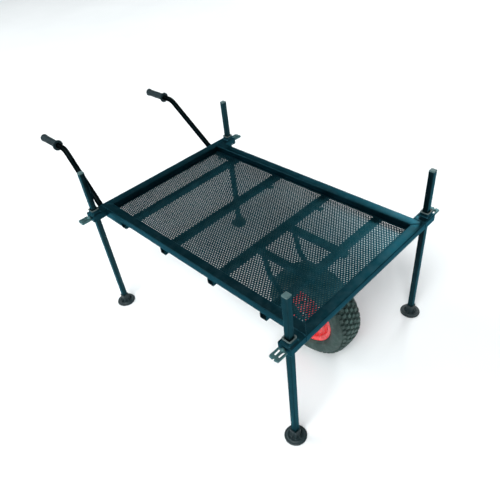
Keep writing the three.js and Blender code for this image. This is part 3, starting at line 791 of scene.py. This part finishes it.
def screw_mesh(whole, wing):
    """A cast wing screw about Z, its tip at 0 and its wings at the far end, in the XZ plane."""
    half, thickness, stem = wing["half"], wing["thickness"], wing["stem"]
    root = whole - wing["length"]
    collar = root - 0.0040
    boss = turned([
        (0, collar), (0.0080, collar), (0.0080, collar + 0.0055), (0.0066, collar + 0.0088),
        (stem, root + 0.0100), (stem * 0.92, whole - wing["length"] * 0.13),
        (0, whole - wing["length"] * 0.10),
    ], 0.0012, 4, 40)
    shank = lathe([
        (0, 0.0004), (0.0030, 0), (SCREW_RADIUS, 0.0010), (SCREW_RADIUS, collar + 0.002), (0, collar + 0.002),
    ], 32)
    shapes = [boss, shank]

    def arm(side, path, section, scales, up=Y):
        shapes.append(bar([(side * x, 0, z) for x, z in path], rounded_rectangle(*section, 3), up, scales))

    for side in (1, -1):
        if wing["loop"]:
            loop_width, loop_length = wing["loop"]
            outer_width = half - stem - GAP - loop_width
            outer = half - outer_width / 2
            cheek, cheek_width = (half + stem * 0.4) / 2, half - stem * 0.4
            cheek_start = root + 0.0035 + loop_length
            arm(side, [(0, root + 0.0021), (outer + 0.0006, root + 0.0021)],
                (thickness * 0.84, 0.0042, 0.0016), None, Z)
            arm(side, [(outer, root + 0.0006), (outer, root + 0.014), (outer - 0.0002, cheek_start + 0.002)],
                (outer_width, thickness * 0.94, 0.0022), [0.9, 1.0, 1.06])
            arm(side, [(cheek, cheek_start), (cheek, whole - 0.0042), (cheek + 0.0006, whole - 0.0004)],
                (cheek_width, thickness, 0.0026), [1.0, 1.0, 0.90])
        else:
            arm(side, [(0.0, root + 0.001), (half * 0.52, root + 0.005), (half - 0.003, whole - 0.010),
                       (half - 0.0035, whole - 0.004)],
                (0.0062, thickness * 0.72, 0.0016), [1.5, 1.35, 1.25, 0.95])
    return cast("screw", joined(*shapes), voxel=0.00052, smooth=4)


def make_screws(casting, paint):
    big = screw_mesh(length("leg_screw_front_left", 1), BIG_WING)
    small = screw_mesh(length("handle_screw_left", 1), SMALL_WING)
    screws = [(f"leg_screw_{k}", big, sy, axes(X * sy, Z * -sy, Y * sy)) for k, sy in CORNERS.items()]
    screws += [(f"handle_screw_{k}", small, -sy, axes(X, Z * sy, Y * -sy)) for k, sy in SIDES.items()]
    for node, mesh, out, turn in screws:
        low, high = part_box(node)
        tip = at((low.x + high.x) / 2, low.y if out > 0 else high.y, (low.z + high.z) / 2)
        placed(f"{node}_wing", mesh, tip @ turn, casting, node, [node])
    small = screw_mesh(length("bar_screw_2", 0), SMALL_WING)
    turn = axes(Y, Z, X)
    for i in (2, 3):
        node = f"bar_screw_{i}"
        low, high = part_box(node)
        y, z = (low.y + high.y) / 2, (low.z + high.z) / 2
        placed(f"{node}_wing", small, at(low.x, y, z) @ turn, casting, node, [node])
        boss = moved(nut(NUT_RADIUS, SCREW_RADIUS, NUT_THICKNESS), at(low.x + BAR_WALL, y, z) @ turn)
        frame_piece(f"cross_bar_{i}_nut", boss, paint, (), SOFT_EDGE)


# ---- handles ----

SOCKET_WIDTH, SOCKET_WALL, SOCKET_CORNER = 0.031, 0.0025, 0.003
HANDLE_RADIUS, HANDLE_WALL = 0.0125, 0.0015
HANDLE_BEND = 0.055
HANDLE_LEAN = math.radians(5.4)
HANDLE_RISE_AT = -0.613  # from the middle of the deck
HANDLE_LEVEL_AT = -0.848
HANDLE_LIFT = 0.2145
GRIP_LENGTH = 0.138
GRIP_RIBS, RIBS_FROM, RIBS_SHORT = 10, 0.014, 0.022  # the ribs' count, start and distance from the end


def make_handles(frame_paint, paint, rubber):
    deck = middle("side_rail_left").x
    for side, sy in SIDES.items():
        socket = f"handle_socket_{side}"
        low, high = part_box(socket)
        rail_y = sy * middle("side_rail_left").y
        z = middle(socket).z
        section = box_section(SOCKET_WIDTH, SOCKET_WIDTH, SOCKET_WALL, SOCKET_CORNER)
        shape = tube([(x, rail_y, z) for x in (low.x, high.x)], *section)
        frame_piece(f"{socket}_tube", shape, frame_paint, [socket], 0.0004)
        inward = Matrix.Rotation(sy * math.pi / 2, 4, "X")
        boss = moved(nut(NUT_RADIUS, SCREW_RADIUS, NUT_THICKNESS),
                     at(middle(f"handle_screw_{side}").x, rail_y - sy * SOCKET_WIDTH / 2, z) @ inward)
        frame_piece(f"{socket}_nut", boss, frame_paint, (), SOFT_EDGE)

        node = f"handle_{side}"
        lean = at(deck, rail_y, z) @ Matrix.Rotation(sy * HANDLE_LEAN, 4, "X")
        inner_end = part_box(node)[1].x - deck
        grip_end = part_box(f"grip_{side}")[0].x - deck
        path = bent([
            (inner_end, 0, 0), (HANDLE_RISE_AT, 0, 0), (HANDLE_LEVEL_AT, 0, HANDLE_LIFT),
            (grip_end + 0.0034, 0, HANDLE_LIFT),
        ], HANDLE_BEND, 14)
        shape = tube(path, circle(HANDLE_RADIUS, 40), circle(HANDLE_RADIUS - HANDLE_WALL, 40))
        piece(f"{node}_tube", moved(shape, lean), paint, node, "frame_paint", [node], SOFT_EDGE, 50)

        outward = axes(Y, Z, X) @ Matrix.Rotation(math.pi, 4, "X")
        grip = moved(grip_shape(), lean @ at(grip_end + GRIP_LENGTH, 0, HANDLE_LIFT) @ outward)
        piece(f"grip_{side}_rubber", grip, rubber, node, "grip_rubber", [f"grip_{side}"], sharp=60)


def grip_shape():
    """A rubber grip about Z: a flange at 0, a ribbed barrel and a flared, domed end."""
    bore, barrel, end, flange = HANDLE_RADIUS + GAP / 2, 0.0160, 0.0180, 0.0245
    outline = rounded_profile([
        (bore, 0.0), (flange - 0.0022, 0.0), (flange, 0.0022), (flange, 0.0048), (flange - 0.0022, 0.0070),
        (barrel + 0.0016, 0.0078), (barrel, 0.0100),
    ], 0.0015)
    last = GRIP_LENGTH - RIBS_SHORT
    step = (last - RIBS_FROM) / GRIP_RIBS
    for i in range(GRIP_RIBS):
        z = RIBS_FROM + i * step
        outline += [(barrel, z), (barrel - 0.0011, z + 0.0008), (barrel - 0.0011, z + step * 0.22),
                    (barrel, z + step * 0.22 + 0.0008), (barrel + 0.0003, z + step * 0.6)]
    outline += rounded_profile([
        (barrel, last), (barrel, GRIP_LENGTH - 0.017), (end, GRIP_LENGTH - 0.0095),
        (end, GRIP_LENGTH - 0.0025), (end - 0.0028, GRIP_LENGTH), (0, GRIP_LENGTH),
    ], 0.0022, 5)
    return lathe(outline + [(0, GRIP_LENGTH - 0.003), (bore, GRIP_LENGTH - 0.003), (bore, 0.0)], 56)


# ---- fork ----

FORK_WALL, FORK_CORNER = 0.0015, 0.003
STRUT_RADIUS, STRUT_WALL, STRUT_BEND = 0.010, 0.002, 0.060
STRUT_TOP_AT, STRUT_KNEE = 0.150, (0.172, 0.365)  # from the middle of the deck
STRUT_SHORT_OF_AXLE = 0.034
LUG_INNER, LUG_THICKNESS, LUG_EYE, LUG_TIP, LUG_LENGTH = 0.0765, 0.006, 0.019, 0.011, 0.096
LUG_OUTER = LUG_INNER + LUG_THICKNESS
AXLE_RADIUS = 0.006


def lug_shape():
    """A teardrop plate in the XY plane: an eye round the axle at the origin, its tail along +X."""
    lean = math.acos((LUG_EYE - LUG_TIP) / LUG_LENGTH)
    outline = []
    for x, radius, start, arc, steps in ((0, LUG_EYE, lean, TURN - 2 * lean, 36),
                                         (LUG_LENGTH, LUG_TIP, -lean, 2 * lean, 12)):
        for i in range(steps + 1):
            a = start + arc * i / steps
            outline.append(Vector((x + radius * math.cos(a), radius * math.sin(a), 0)))
    bore = [p.normalized() * (AXLE_RADIUS + GAP) for p in outline]
    up = Z * LUG_THICKNESS
    return skin([outline, [p + up for p in outline], [p + up for p in bore], bore, outline])


def make_fork(paint):
    deck, axle = middle("side_rail_left").x, middle("tyre")
    knee = Vector((deck + STRUT_KNEE[0], 0, STRUT_KNEE[1]))
    up_strut = (knee - axle).normalized()
    lower = axle + up_strut * STRUT_SHORT_OF_AXLE
    for side, sy in SIDES.items():
        rail, strut = f"fork_rail_{side}", f"fork_strut_{side}"
        frame_piece(f"{rail}_tube", straight_tube(rail, 0, FORK_WALL, FORK_CORNER), paint, [rail], SOFT_EDGE)
        y = middle(rail).y
        path = bent([
            (deck + STRUT_TOP_AT, y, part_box(rail)[0].z + 0.0006), (knee.x, y, knee.z), (lower.x, y, lower.z),
        ], STRUT_BEND, 12)
        shape = tube(path, circle(STRUT_RADIUS, 36), circle(STRUT_RADIUS - STRUT_WALL, 36), Y)
        frame_piece(f"{strut}_tube", shape, paint, [strut], 0.0004, 50)
        start = LUG_INNER if sy > 0 else -LUG_OUTER
        plate = moved(lug_shape(), at(axle.x, start, axle.z) @ axes(up_strut, Y.cross(up_strut), Y))
        frame_piece(f"axle_lug_{side}", plate, paint, (), 0.0007, 50)


# ---- wheel ----

TYRE_RADIUS = 0.2
# the rings on a sidewall, as (radius, height, width)
RINGS = ((0.1375, 0.0010, 0.0014), (0.1440, 0.0007, 0.0012), (0.1640, 0.0007, 0.0016))
TREAD_PITCHES = 47
TREAD_TAPER = 0.80  # a block's size at its top, as a share of its foot
RIM_BOLTS, BOLT_CIRCLE = 4, 0.044
WASHER = 0.0012  # under a rim bolt
TO_AXLE = Matrix.Rotation(-math.pi / 2, 4, "X")  # turns a lathed shape's Z to +Y
FACING = {"left": TO_AXLE, "right": Matrix.Rotation(math.pi, 4, "Z") @ TO_AXLE}

# profiles of (radius, height) to be turned about the axle, from the wheel's middle plane
RIM_OUTSIDE = [
    (0.0205, 0.0002), (0.0650, 0.0002), (0.1016, 0.0298), (0.1093, 0.0352), (0.1093, 0.0466),
    (0.1132, 0.0494), (0.1240, 0.0512), (0.1260, 0.0524),
]
RIM_INSIDE = [
    (0.1260, 0.0538), (0.1245, 0.0549), (0.1150, 0.0546), (0.1082, 0.0500), (0.1046, 0.0400),
    (0.0984, 0.0322), (0.0620, 0.0034), (0.0360, 0.0034), (0.0330, 0.0050), (0.0240, 0.0050),
    (0.0205, 0.0050),
]
BEARING = [
    (0.0063, 0.0450), (0.0157, 0.0450), (0.0157, 0.0560), (0.0132, 0.0560), (0.0130, 0.0552),
    (0.0090, 0.0552), (0.0088, 0.0560), (0.0063, 0.0560), (0.0063, 0.0450),
]
HUB = [
    (0.0160, -0.0560), (0.0192, -0.0560), (0.0200, -0.0552), (0.0200, 0.0552), (0.0192, 0.0560),
    (0.0160, 0.0560), (0.0160, 0.0440), (0.0130, 0.0440), (0.0130, -0.0440), (0.0160, -0.0440),
    (0.0160, -0.0560),
]
SPACER = [(0.0063, 0.0563), (0.0095, 0.0563), (0.0095, 0.0762), (0.0063, 0.0762), (0.0063, 0.0563)]
# profiles from their own foot
VALVE = [
    (0, 0), (0.0062, 0), (0.0060, 0.0020), (0.0048, 0.0048), (0.0040, 0.0090), (0.0031, 0.0210),
    (0.0040, 0.0214), (0.0040, 0.0226), (0.0034, 0.0230), (0.0034, 0.0300), (0.0026, 0.0315), (0, 0.0318),
]
AXLE_WASHER = [(0.0063, 0), (0.0120, 0), (0.0120, 0.0016), (0.0063, 0.0016), (0.0063, 0)]
LOCK_COLLAR = [(0.0061, 0.0068), (0.0086, 0.0068), (0.0086, 0.0080), (0.0074, 0.0086), (0.0061, 0.0086)]


def spline(points, steps):
    """A Catmull-Rom curve through points."""
    points = [Vector(p) for p in points]
    padded = [points[0] * 2 - points[1]] + points + [points[-1] * 2 - points[-2]]
    out = []
    for a, b, c, d in zip(padded, padded[1:], padded[2:], padded[3:]):
        for i in range(steps):
            t = i / steps
            out.append(0.5 * ((2 * b) + (c - a) * t + (2 * a - 5 * b + 4 * c - d) * t ** 2
                              + (3 * b - a - 3 * c + d) * t ** 3))
    out.append(points[-1])
    return [tuple(p) for p in out]


def tyre_shape(radius, half_width):
    """The carcass: a rounded hoop with moulded rings on its sidewalls, open towards the rim."""
    outside = spline([
        (0.1100, 0.0462), (0.1180, 0.0490), (0.1268, 0.0512), (0.1310, 0.0575), (0.1410, 0.0672),
        (0.1550, half_width - 0.0004), (0.1700, half_width - 0.0022), (0.1800, 0.0605), (0.1852, 0.0470),
        (radius - 0.0112, 0.0300), (radius - 0.0104, 0.0140), (radius - 0.0104, 0.0),
    ], 6)
    ringed = []
    for r, y in outside:
        raised = (height * max(0.0, 1 - ((r - ring) / width) ** 2) for ring, height, width in RINGS)
        ringed.append((r, y + sum(raised)))
    inside = spline([
        (radius - 0.021, 0.0), (radius - 0.022, 0.028), (0.1740, 0.0500), (0.1550, 0.0630),
        (0.1380, 0.0560), (0.1260, 0.0455), (0.1180, 0.0405), (0.1100, 0.0380),
    ], 5)
    tread_side = [(r, -y) for r, y in ringed] + ringed[-2::-1]
    air_side = inside[::-1] + [(r, -y) for r, y in inside[1:]]
    return lathe(tread_side + air_side, 160)


def tread_block(half_x, half_y, height):
    """A block about the origin, its top at 0, that narrows towards its top."""
    base = rounded_rectangle(2 * half_x, 2 * half_y, min(half_x, half_y) * 2 * 0.12, 2)
    levels = ((0.0, 1.0), (0.75, 1 - (1 - TREAD_TAPER) * 0.7), (1.0, TREAD_TAPER))
    return capped([
        [Vector((p.x * scale, p.y * scale, height * (level - 1))) for p in base] for level, scale in levels
    ])


def tread_shape(radius):
    """Staggered rows of blocks: middle, intermediate, and shoulder blocks that lean outwards."""
    rows = [  # across, half across, half along, height of the top above the axle, lean, block height, phase
        (0.0108, 0.0086, 0.0084, radius, 0.0, 0.0125, 0.0),
        (0.0318, 0.0092, 0.0082, radius - 0.0016, 8.0, 0.0130, 0.5),
        (0.0510, 0.0072, 0.0086, radius - 0.0080, 33.0, 0.0125, 0.0),
    ]
    shapes = []
    for side, stagger in ((1, 0.0), (-1, 0.5)):
        for across, half_across, half_along, top, lean, height, phase in rows:
            tilt = Matrix.Rotation(-side * math.radians(lean), 4, "X")
            stands = at(0, side * across, top) @ tilt
            block = tread_block(half_along, half_across, height)
            for i in range(TREAD_PITCHES):
                spin = Matrix.Rotation(TURN * (i + phase + stagger) / TREAD_PITCHES, 4, "Y")
                shapes.append(moved(block, spin @ stands))
    return joined(*shapes)


def bolt_shape(head_side):
    """A rim bolt about Z: a hexagon head on one side, a nut and thread on the other."""
    reach, thread, tip = (0.0044, 0.0058, 0.0064) if head_side else (0.0036, 0.0082, 0.0090)
    shank = lathe([(0, -0.0008), (0.0038, -0.0008), (0.0038, thread), (0.0028, tip), (0, tip)], 24)
    washer = turned([(0.0039, 0), (0.0088, 0), (0.0088, WASHER), (0.0039, WASHER)], 0.0002, 2, 40)
    lifted = moved(joined(nut(0.0072, 0.0038, 0.0052), shank), at(0, 0, WASHER))
    return moved(joined(washer, lifted), at(0, 0, reach))


def make_wheel(rubber, red, zinc, steel, black):
    def wheel_piece(name, shape, material, slot, replaces=(), **edges):
        piece(name, moved(shape, place), material, "wheel", slot, replaces, **edges)

    low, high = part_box("tyre")
    radius, half_width = (high.z - low.z) / 2, (high.y - low.y) / 2
    place = at(*middle("tyre"))
    carcass = moved(tyre_shape(radius, half_width), TO_AXLE)
    wheel_piece("tyre_carcass", carcass, rubber, "tyre_rubber", ["tyre"])
    wheel_piece("tyre_tread", tread_shape(radius - 0.0004), rubber, "tyre_rubber", bevel=0.0009, sharp=25)
    rim = lathe(rounded_profile(RIM_OUTSIDE, 0.004, 5) + rounded_profile(RIM_INSIDE, 0.009, 7), 128)
    bearing = turned(BEARING, 0.0003, 2, 64)
    for side, sy in SIDES.items():
        face = FACING[side]
        spins = (Matrix.Rotation(TURN * (i + 0.5) / RIM_BOLTS, 4, "Z") for i in range(RIM_BOLTS))
        bolts = [moved(bolt_shape(sy < 0), spin @ at(BOLT_CIRCLE, 0, 0)) for spin in spins]
        rim_node, bearing_node = f"rim_half_{side}", f"bearing_{side}"
        wheel_piece(f"{rim_node}_pressing", moved(rim, face), red, "rim_paint", [rim_node])
        wheel_piece(f"{bearing_node}_races", moved(bearing, face), steel, "bearing_steel", [bearing_node])
        wheel_piece(f"rim_bolts_{side}", moved(joined(*bolts), face), zinc, "zinc", bevel=0.0002)
    wheel_piece("hub_tube", moved(turned(HUB, 0.0004, 2, 72), TO_AXLE), red, "rim_paint", ["hub"])
    low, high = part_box("valve_stem")
    seat = at((low.x + high.x) / 2, high.y, (low.z + high.z) / 2)
    valve = moved(turned(VALVE, 0.0005, 3, 36), seat @ FACING["right"])
    piece("valve_stem_rubber", valve, black, "wheel", "valve_rubber", ["valve_stem"])


THREAD_PITCH, THREAD_DEPTH = 0.0015, 0.0008


def make_axle(zinc):
    place = at(*middle("tyre"))
    end = -length("axle", 1) / 2
    z = end + 0.0010
    outline = [(0, end), (0.0050, end), (AXLE_RADIUS, z)]
    while z < 0.004 - LUG_OUTER:
        outline += [(AXLE_RADIUS, z), (AXLE_RADIUS - THREAD_DEPTH, z + THREAD_PITCH / 2)]
        z += THREAD_PITCH
    outline += [(AXLE_RADIUS, z)]
    outline += [(r, -h) for r, h in reversed(outline)]
    piece("axle_rod", moved(lathe(outline, 40), place @ TO_AXLE), zinc, "platform", "zinc", ["axle"])
    spacer = turned(SPACER, 0.0004, 2, 48)
    washer = turned(AXLE_WASHER, 0.0003, 2, 48)
    lock_nut = joined(nut(0.0105, 0.0061, 0.0072), turned(LOCK_COLLAR, 0.0006, 3, 48))
    lock = joined(washer, moved(lock_nut, at(0, 0, 0.0016)))
    for side in SIDES:
        face, spacer_node, nut_node = place @ FACING[side], f"axle_spacer_{side}", f"axle_nut_{side}"
        piece(f"{spacer_node}_sleeve", moved(spacer, face), zinc, "platform", "zinc", [spacer_node])
        seated = moved(lock, face @ at(0, 0, LUG_OUTER + GAP))
        piece(f"{nut_node}_lock", seated, zinc, "platform", "zinc", [nut_node], 0.0002)


# ---- welds ----

BEAD, CORNER_BEAD, STRUT_BEAD, BRACKET_BEAD = 0.0024, 0.0017, 0.0021, 0.0020  # radii
SUNK = 0.0006  # how far a bead's middle stands off a tube's face, or lies below it
BRACKET_CUT = 0.0028  # how far the bracket's beads stop short of its corners


def make_welds(paint):
    """Beads where the platform's tubes meet, in one piece for each joint family."""
    deck_low, deck_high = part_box("side_rail_right")[0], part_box("side_rail_left")[1]
    rail_top, rail_under, side_y = deck_high.z, deck_low.z, abs(deck_low.y)
    rail_width, bar_width = length("side_rail_right", 1), length("cross_bar_1", 0)
    rail_middle = middle("side_rail_left")
    beads, done = [], []

    def lay(start, end, radius=BEAD):
        beads.append(bead([start, end], radius, len(beads)))

    def finish_family(name):
        family = beads[len(done):]
        done.extend(family)
        frame_piece(f"weld_beads_{name}", joined(*family), paint, sharp=60)

    for sx in (-1, 1):
        for sy in (-1, 1):
            outer = Vector((deck_high.x if sx > 0 else deck_low.x, sy * side_y, 0))
            inner = outer - Vector((sx * rail_width, sy * rail_width, 0))
            inset = Vector((sx, sy, 0)) * 0.003
            for z in (rail_top, rail_under):
                lay(outer - inset + Z * z, inner + inset * 0.4 + Z * z, CORNER_BEAD)
    finish_family("corners")

    for i in CROSS_BARS:
        low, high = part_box(f"cross_bar_{i}")
        z = high.z - SUNK
        for sy in (-1, 1):
            start, end = sorted((sy * (side_y - 0.003), sy * (side_y - rail_width + 0.002)))
            for x in (low.x - SUNK, low.x + bar_width + SUNK):
                lay((x, start, z), (x, end, z))
    for side, sy in SIDES.items():
        low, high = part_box(f"fork_rail_{side}")
        for i in CROSS_BARS[2:]:
            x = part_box(f"cross_bar_{i}")[0].x
            for y in (low.y - SUNK, high.y + SUNK):
                lay((x + 0.003, y, high.z - 0.0004), (x + bar_width - 0.003, y, high.z - 0.0004))
        strut = Vector((rail_middle.x + STRUT_TOP_AT, middle(f"fork_rail_{side}").y, low.z - SUNK))
        loop = circle(STRUT_RADIUS + 0.0008, 20)
        beads.append(bead([strut + p for p in loop + loop[:1]], STRUT_BEAD, len(beads)))
        low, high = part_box(f"handle_socket_{side}")
        z = low.z + SOCKET_WIDTH - SUNK
        for y in (sy * rail_middle.y - SOCKET_WIDTH / 2, sy * rail_middle.y + SOCKET_WIDTH / 2):
            for x0, x1 in ((low.x + 0.006, low.x + 0.046), (high.x - 0.046, high.x - 0.006)):
                lay((x0, y, z), (x1, y, z))
    finish_family("underside")

    top, under = rail_top - 0.0002, rail_under + 0.0002
    for corner, sy in CORNERS.items():
        x = middle(f"leg_{corner}").x
        reach = length(f"leg_bracket_{corner}", 0) / 2
        y = sy * (side_y + 0.0004)
        for z in (top, under):
            lay((x - reach + BRACKET_CUT, y, z), (x + reach - BRACKET_CUT, y, z), BRACKET_BEAD)
        for edge in (x - reach + 0.0002, x + reach - 0.0002):
            lay((edge, y, under + BRACKET_CUT), (edge, y, top - BRACKET_CUT), BRACKET_BEAD)
    finish_family("brackets")


# ---- room ----

FLOOR_REACH = 30
LIGHTS = (  # name, place, target, size, watts
    ("key", (3.0, -6.5, 9.0), (0, 0, 0.3), (6, 5), 1250),
    ("side", (-7.5, -4.5, 8.0), (0, 0, 0.3), (5, 5), 500),
    ("back", (-2.0, 10.0, 6.6), (0, 0, 0.5), (4.0, 3.0), 560),
)
# the sky is bright at the horizon and dims upwards
SKY_FADE = {"From Min": 0.12, "From Max": 0.42, "To Min": 1.0, "To Max": 0.17}
SKY_COLOR = (0.96, 0.98, 1.0, 1)


def make_room():
    mesh = bpy.data.meshes.new("floor")
    signs = ((-1, -1), (1, -1), (1, 1), (-1, 1))
    mesh.from_pydata([(x * FLOOR_REACH, y * FLOOR_REACH, 0) for x, y in signs], [], [(0, 1, 2, 3)])
    mesh.materials.append(floor_material())
    show("floor", mesh)
    world = bpy.data.worlds.new("studio")
    world.use_nodes = True
    tree = world.node_tree
    place = tree.nodes.new("ShaderNodeTexCoord")
    parts = tree.nodes.new("ShaderNodeSeparateXYZ")
    level = tree.nodes.new("ShaderNodeMapRange")
    tree.links.new(place.outputs["Generated"], parts.inputs[0])
    tree.links.new(parts.outputs["Z"], level.inputs["Value"])
    for socket, value in SKY_FADE.items():
        level.inputs[socket].default_value = value
    background = tree.nodes["Background"]
    background.inputs["Color"].default_value = SKY_COLOR
    tree.links.new(level.outputs["Result"], background.inputs["Strength"])
    bpy.context.scene.world = world
    for name, start, target, size, watts in LIGHTS:
        light = bpy.data.lights.new(name, "AREA")
        light.shape = "RECTANGLE"
        light.size, light.size_y = size
        light.energy = watts
        obj = show(name, light)
        obj.location = start
        obj.rotation_euler = (Vector(target) - Vector(start)).to_track_quat("-Z", "Y").to_euler()
    bpy.context.scene.view_settings.view_transform = "Standard"


# ---- the whole ----

make_camera()
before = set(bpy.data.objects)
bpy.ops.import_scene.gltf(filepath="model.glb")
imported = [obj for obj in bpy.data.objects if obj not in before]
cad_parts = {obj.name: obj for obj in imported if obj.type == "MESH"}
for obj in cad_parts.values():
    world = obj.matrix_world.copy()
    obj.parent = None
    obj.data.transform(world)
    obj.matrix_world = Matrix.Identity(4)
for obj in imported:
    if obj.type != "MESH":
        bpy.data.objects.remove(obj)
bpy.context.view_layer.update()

frame_paint = powder_coat("frame_powder_coat", (0.005, 0.034, 0.047), (0.05, 0.15, 0.18, 1))
deck_paint = powder_coat("deck_powder_coat", (0.008, 0.048, 0.062), (0.07, 0.20, 0.24, 1))
leg_paint = powder_coat("leg_powder_coat", (0.008, 0.028, 0.035), (0.07, 0.14, 0.16, 1), scratches=0.3)
handle_paint = powder_coat("handle_powder_coat", (0.0006, 0.0022, 0.0028), (0.02, 0.05, 0.06, 1), 0.46,
                           tint=(0.05, 0.13, 0.16, 1), coat=0.0)
screw_paint = powder_coat("screw_powder_coat", (0.060, 0.135, 0.140), (0.26, 0.38, 0.38, 1), 0.42, 0.6)
cap_plastic = moulded_plastic("pale_cap_plastic", (0.050, 0.105, 0.108))
bush_plastic = moulded_plastic("bush_plastic", (0.055, 0.085, 0.085))
foot_plastic = moulded_plastic("foot_plastic", (0.012, 0.026, 0.030), 0.5)
grip = grip_rubber("grip_rubber")
tyre = tyre_rubber("tyre_rubber", middle("tyre"), TYRE_RADIUS)
red = enamel("rim_enamel", (0.86, 0.030, 0.032))
zinc = plated_steel("zinc_plate", (0.60, 0.63, 0.64), 0.22)
steel = plated_steel("bearing_steel", (0.50, 0.51, 0.52), 0.18)
valve_rubber = moulded_plastic("valve_rubber", (0.02, 0.02, 0.02), 0.6)

make_deck_frame(frame_paint)
make_cross_bars(frame_paint)
make_deck_sheet(deck_paint)
make_leg_brackets(frame_paint, bush_plastic)
make_legs(leg_paint, cap_plastic, foot_plastic)
make_screws(screw_paint, frame_paint)
make_handles(frame_paint, handle_paint, grip)
make_fork(frame_paint)
make_wheel(tyre, red, zinc, steel, valve_rubber)
make_axle(zinc)
make_welds(frame_paint)
make_room()

bpy.context.view_layer.update()
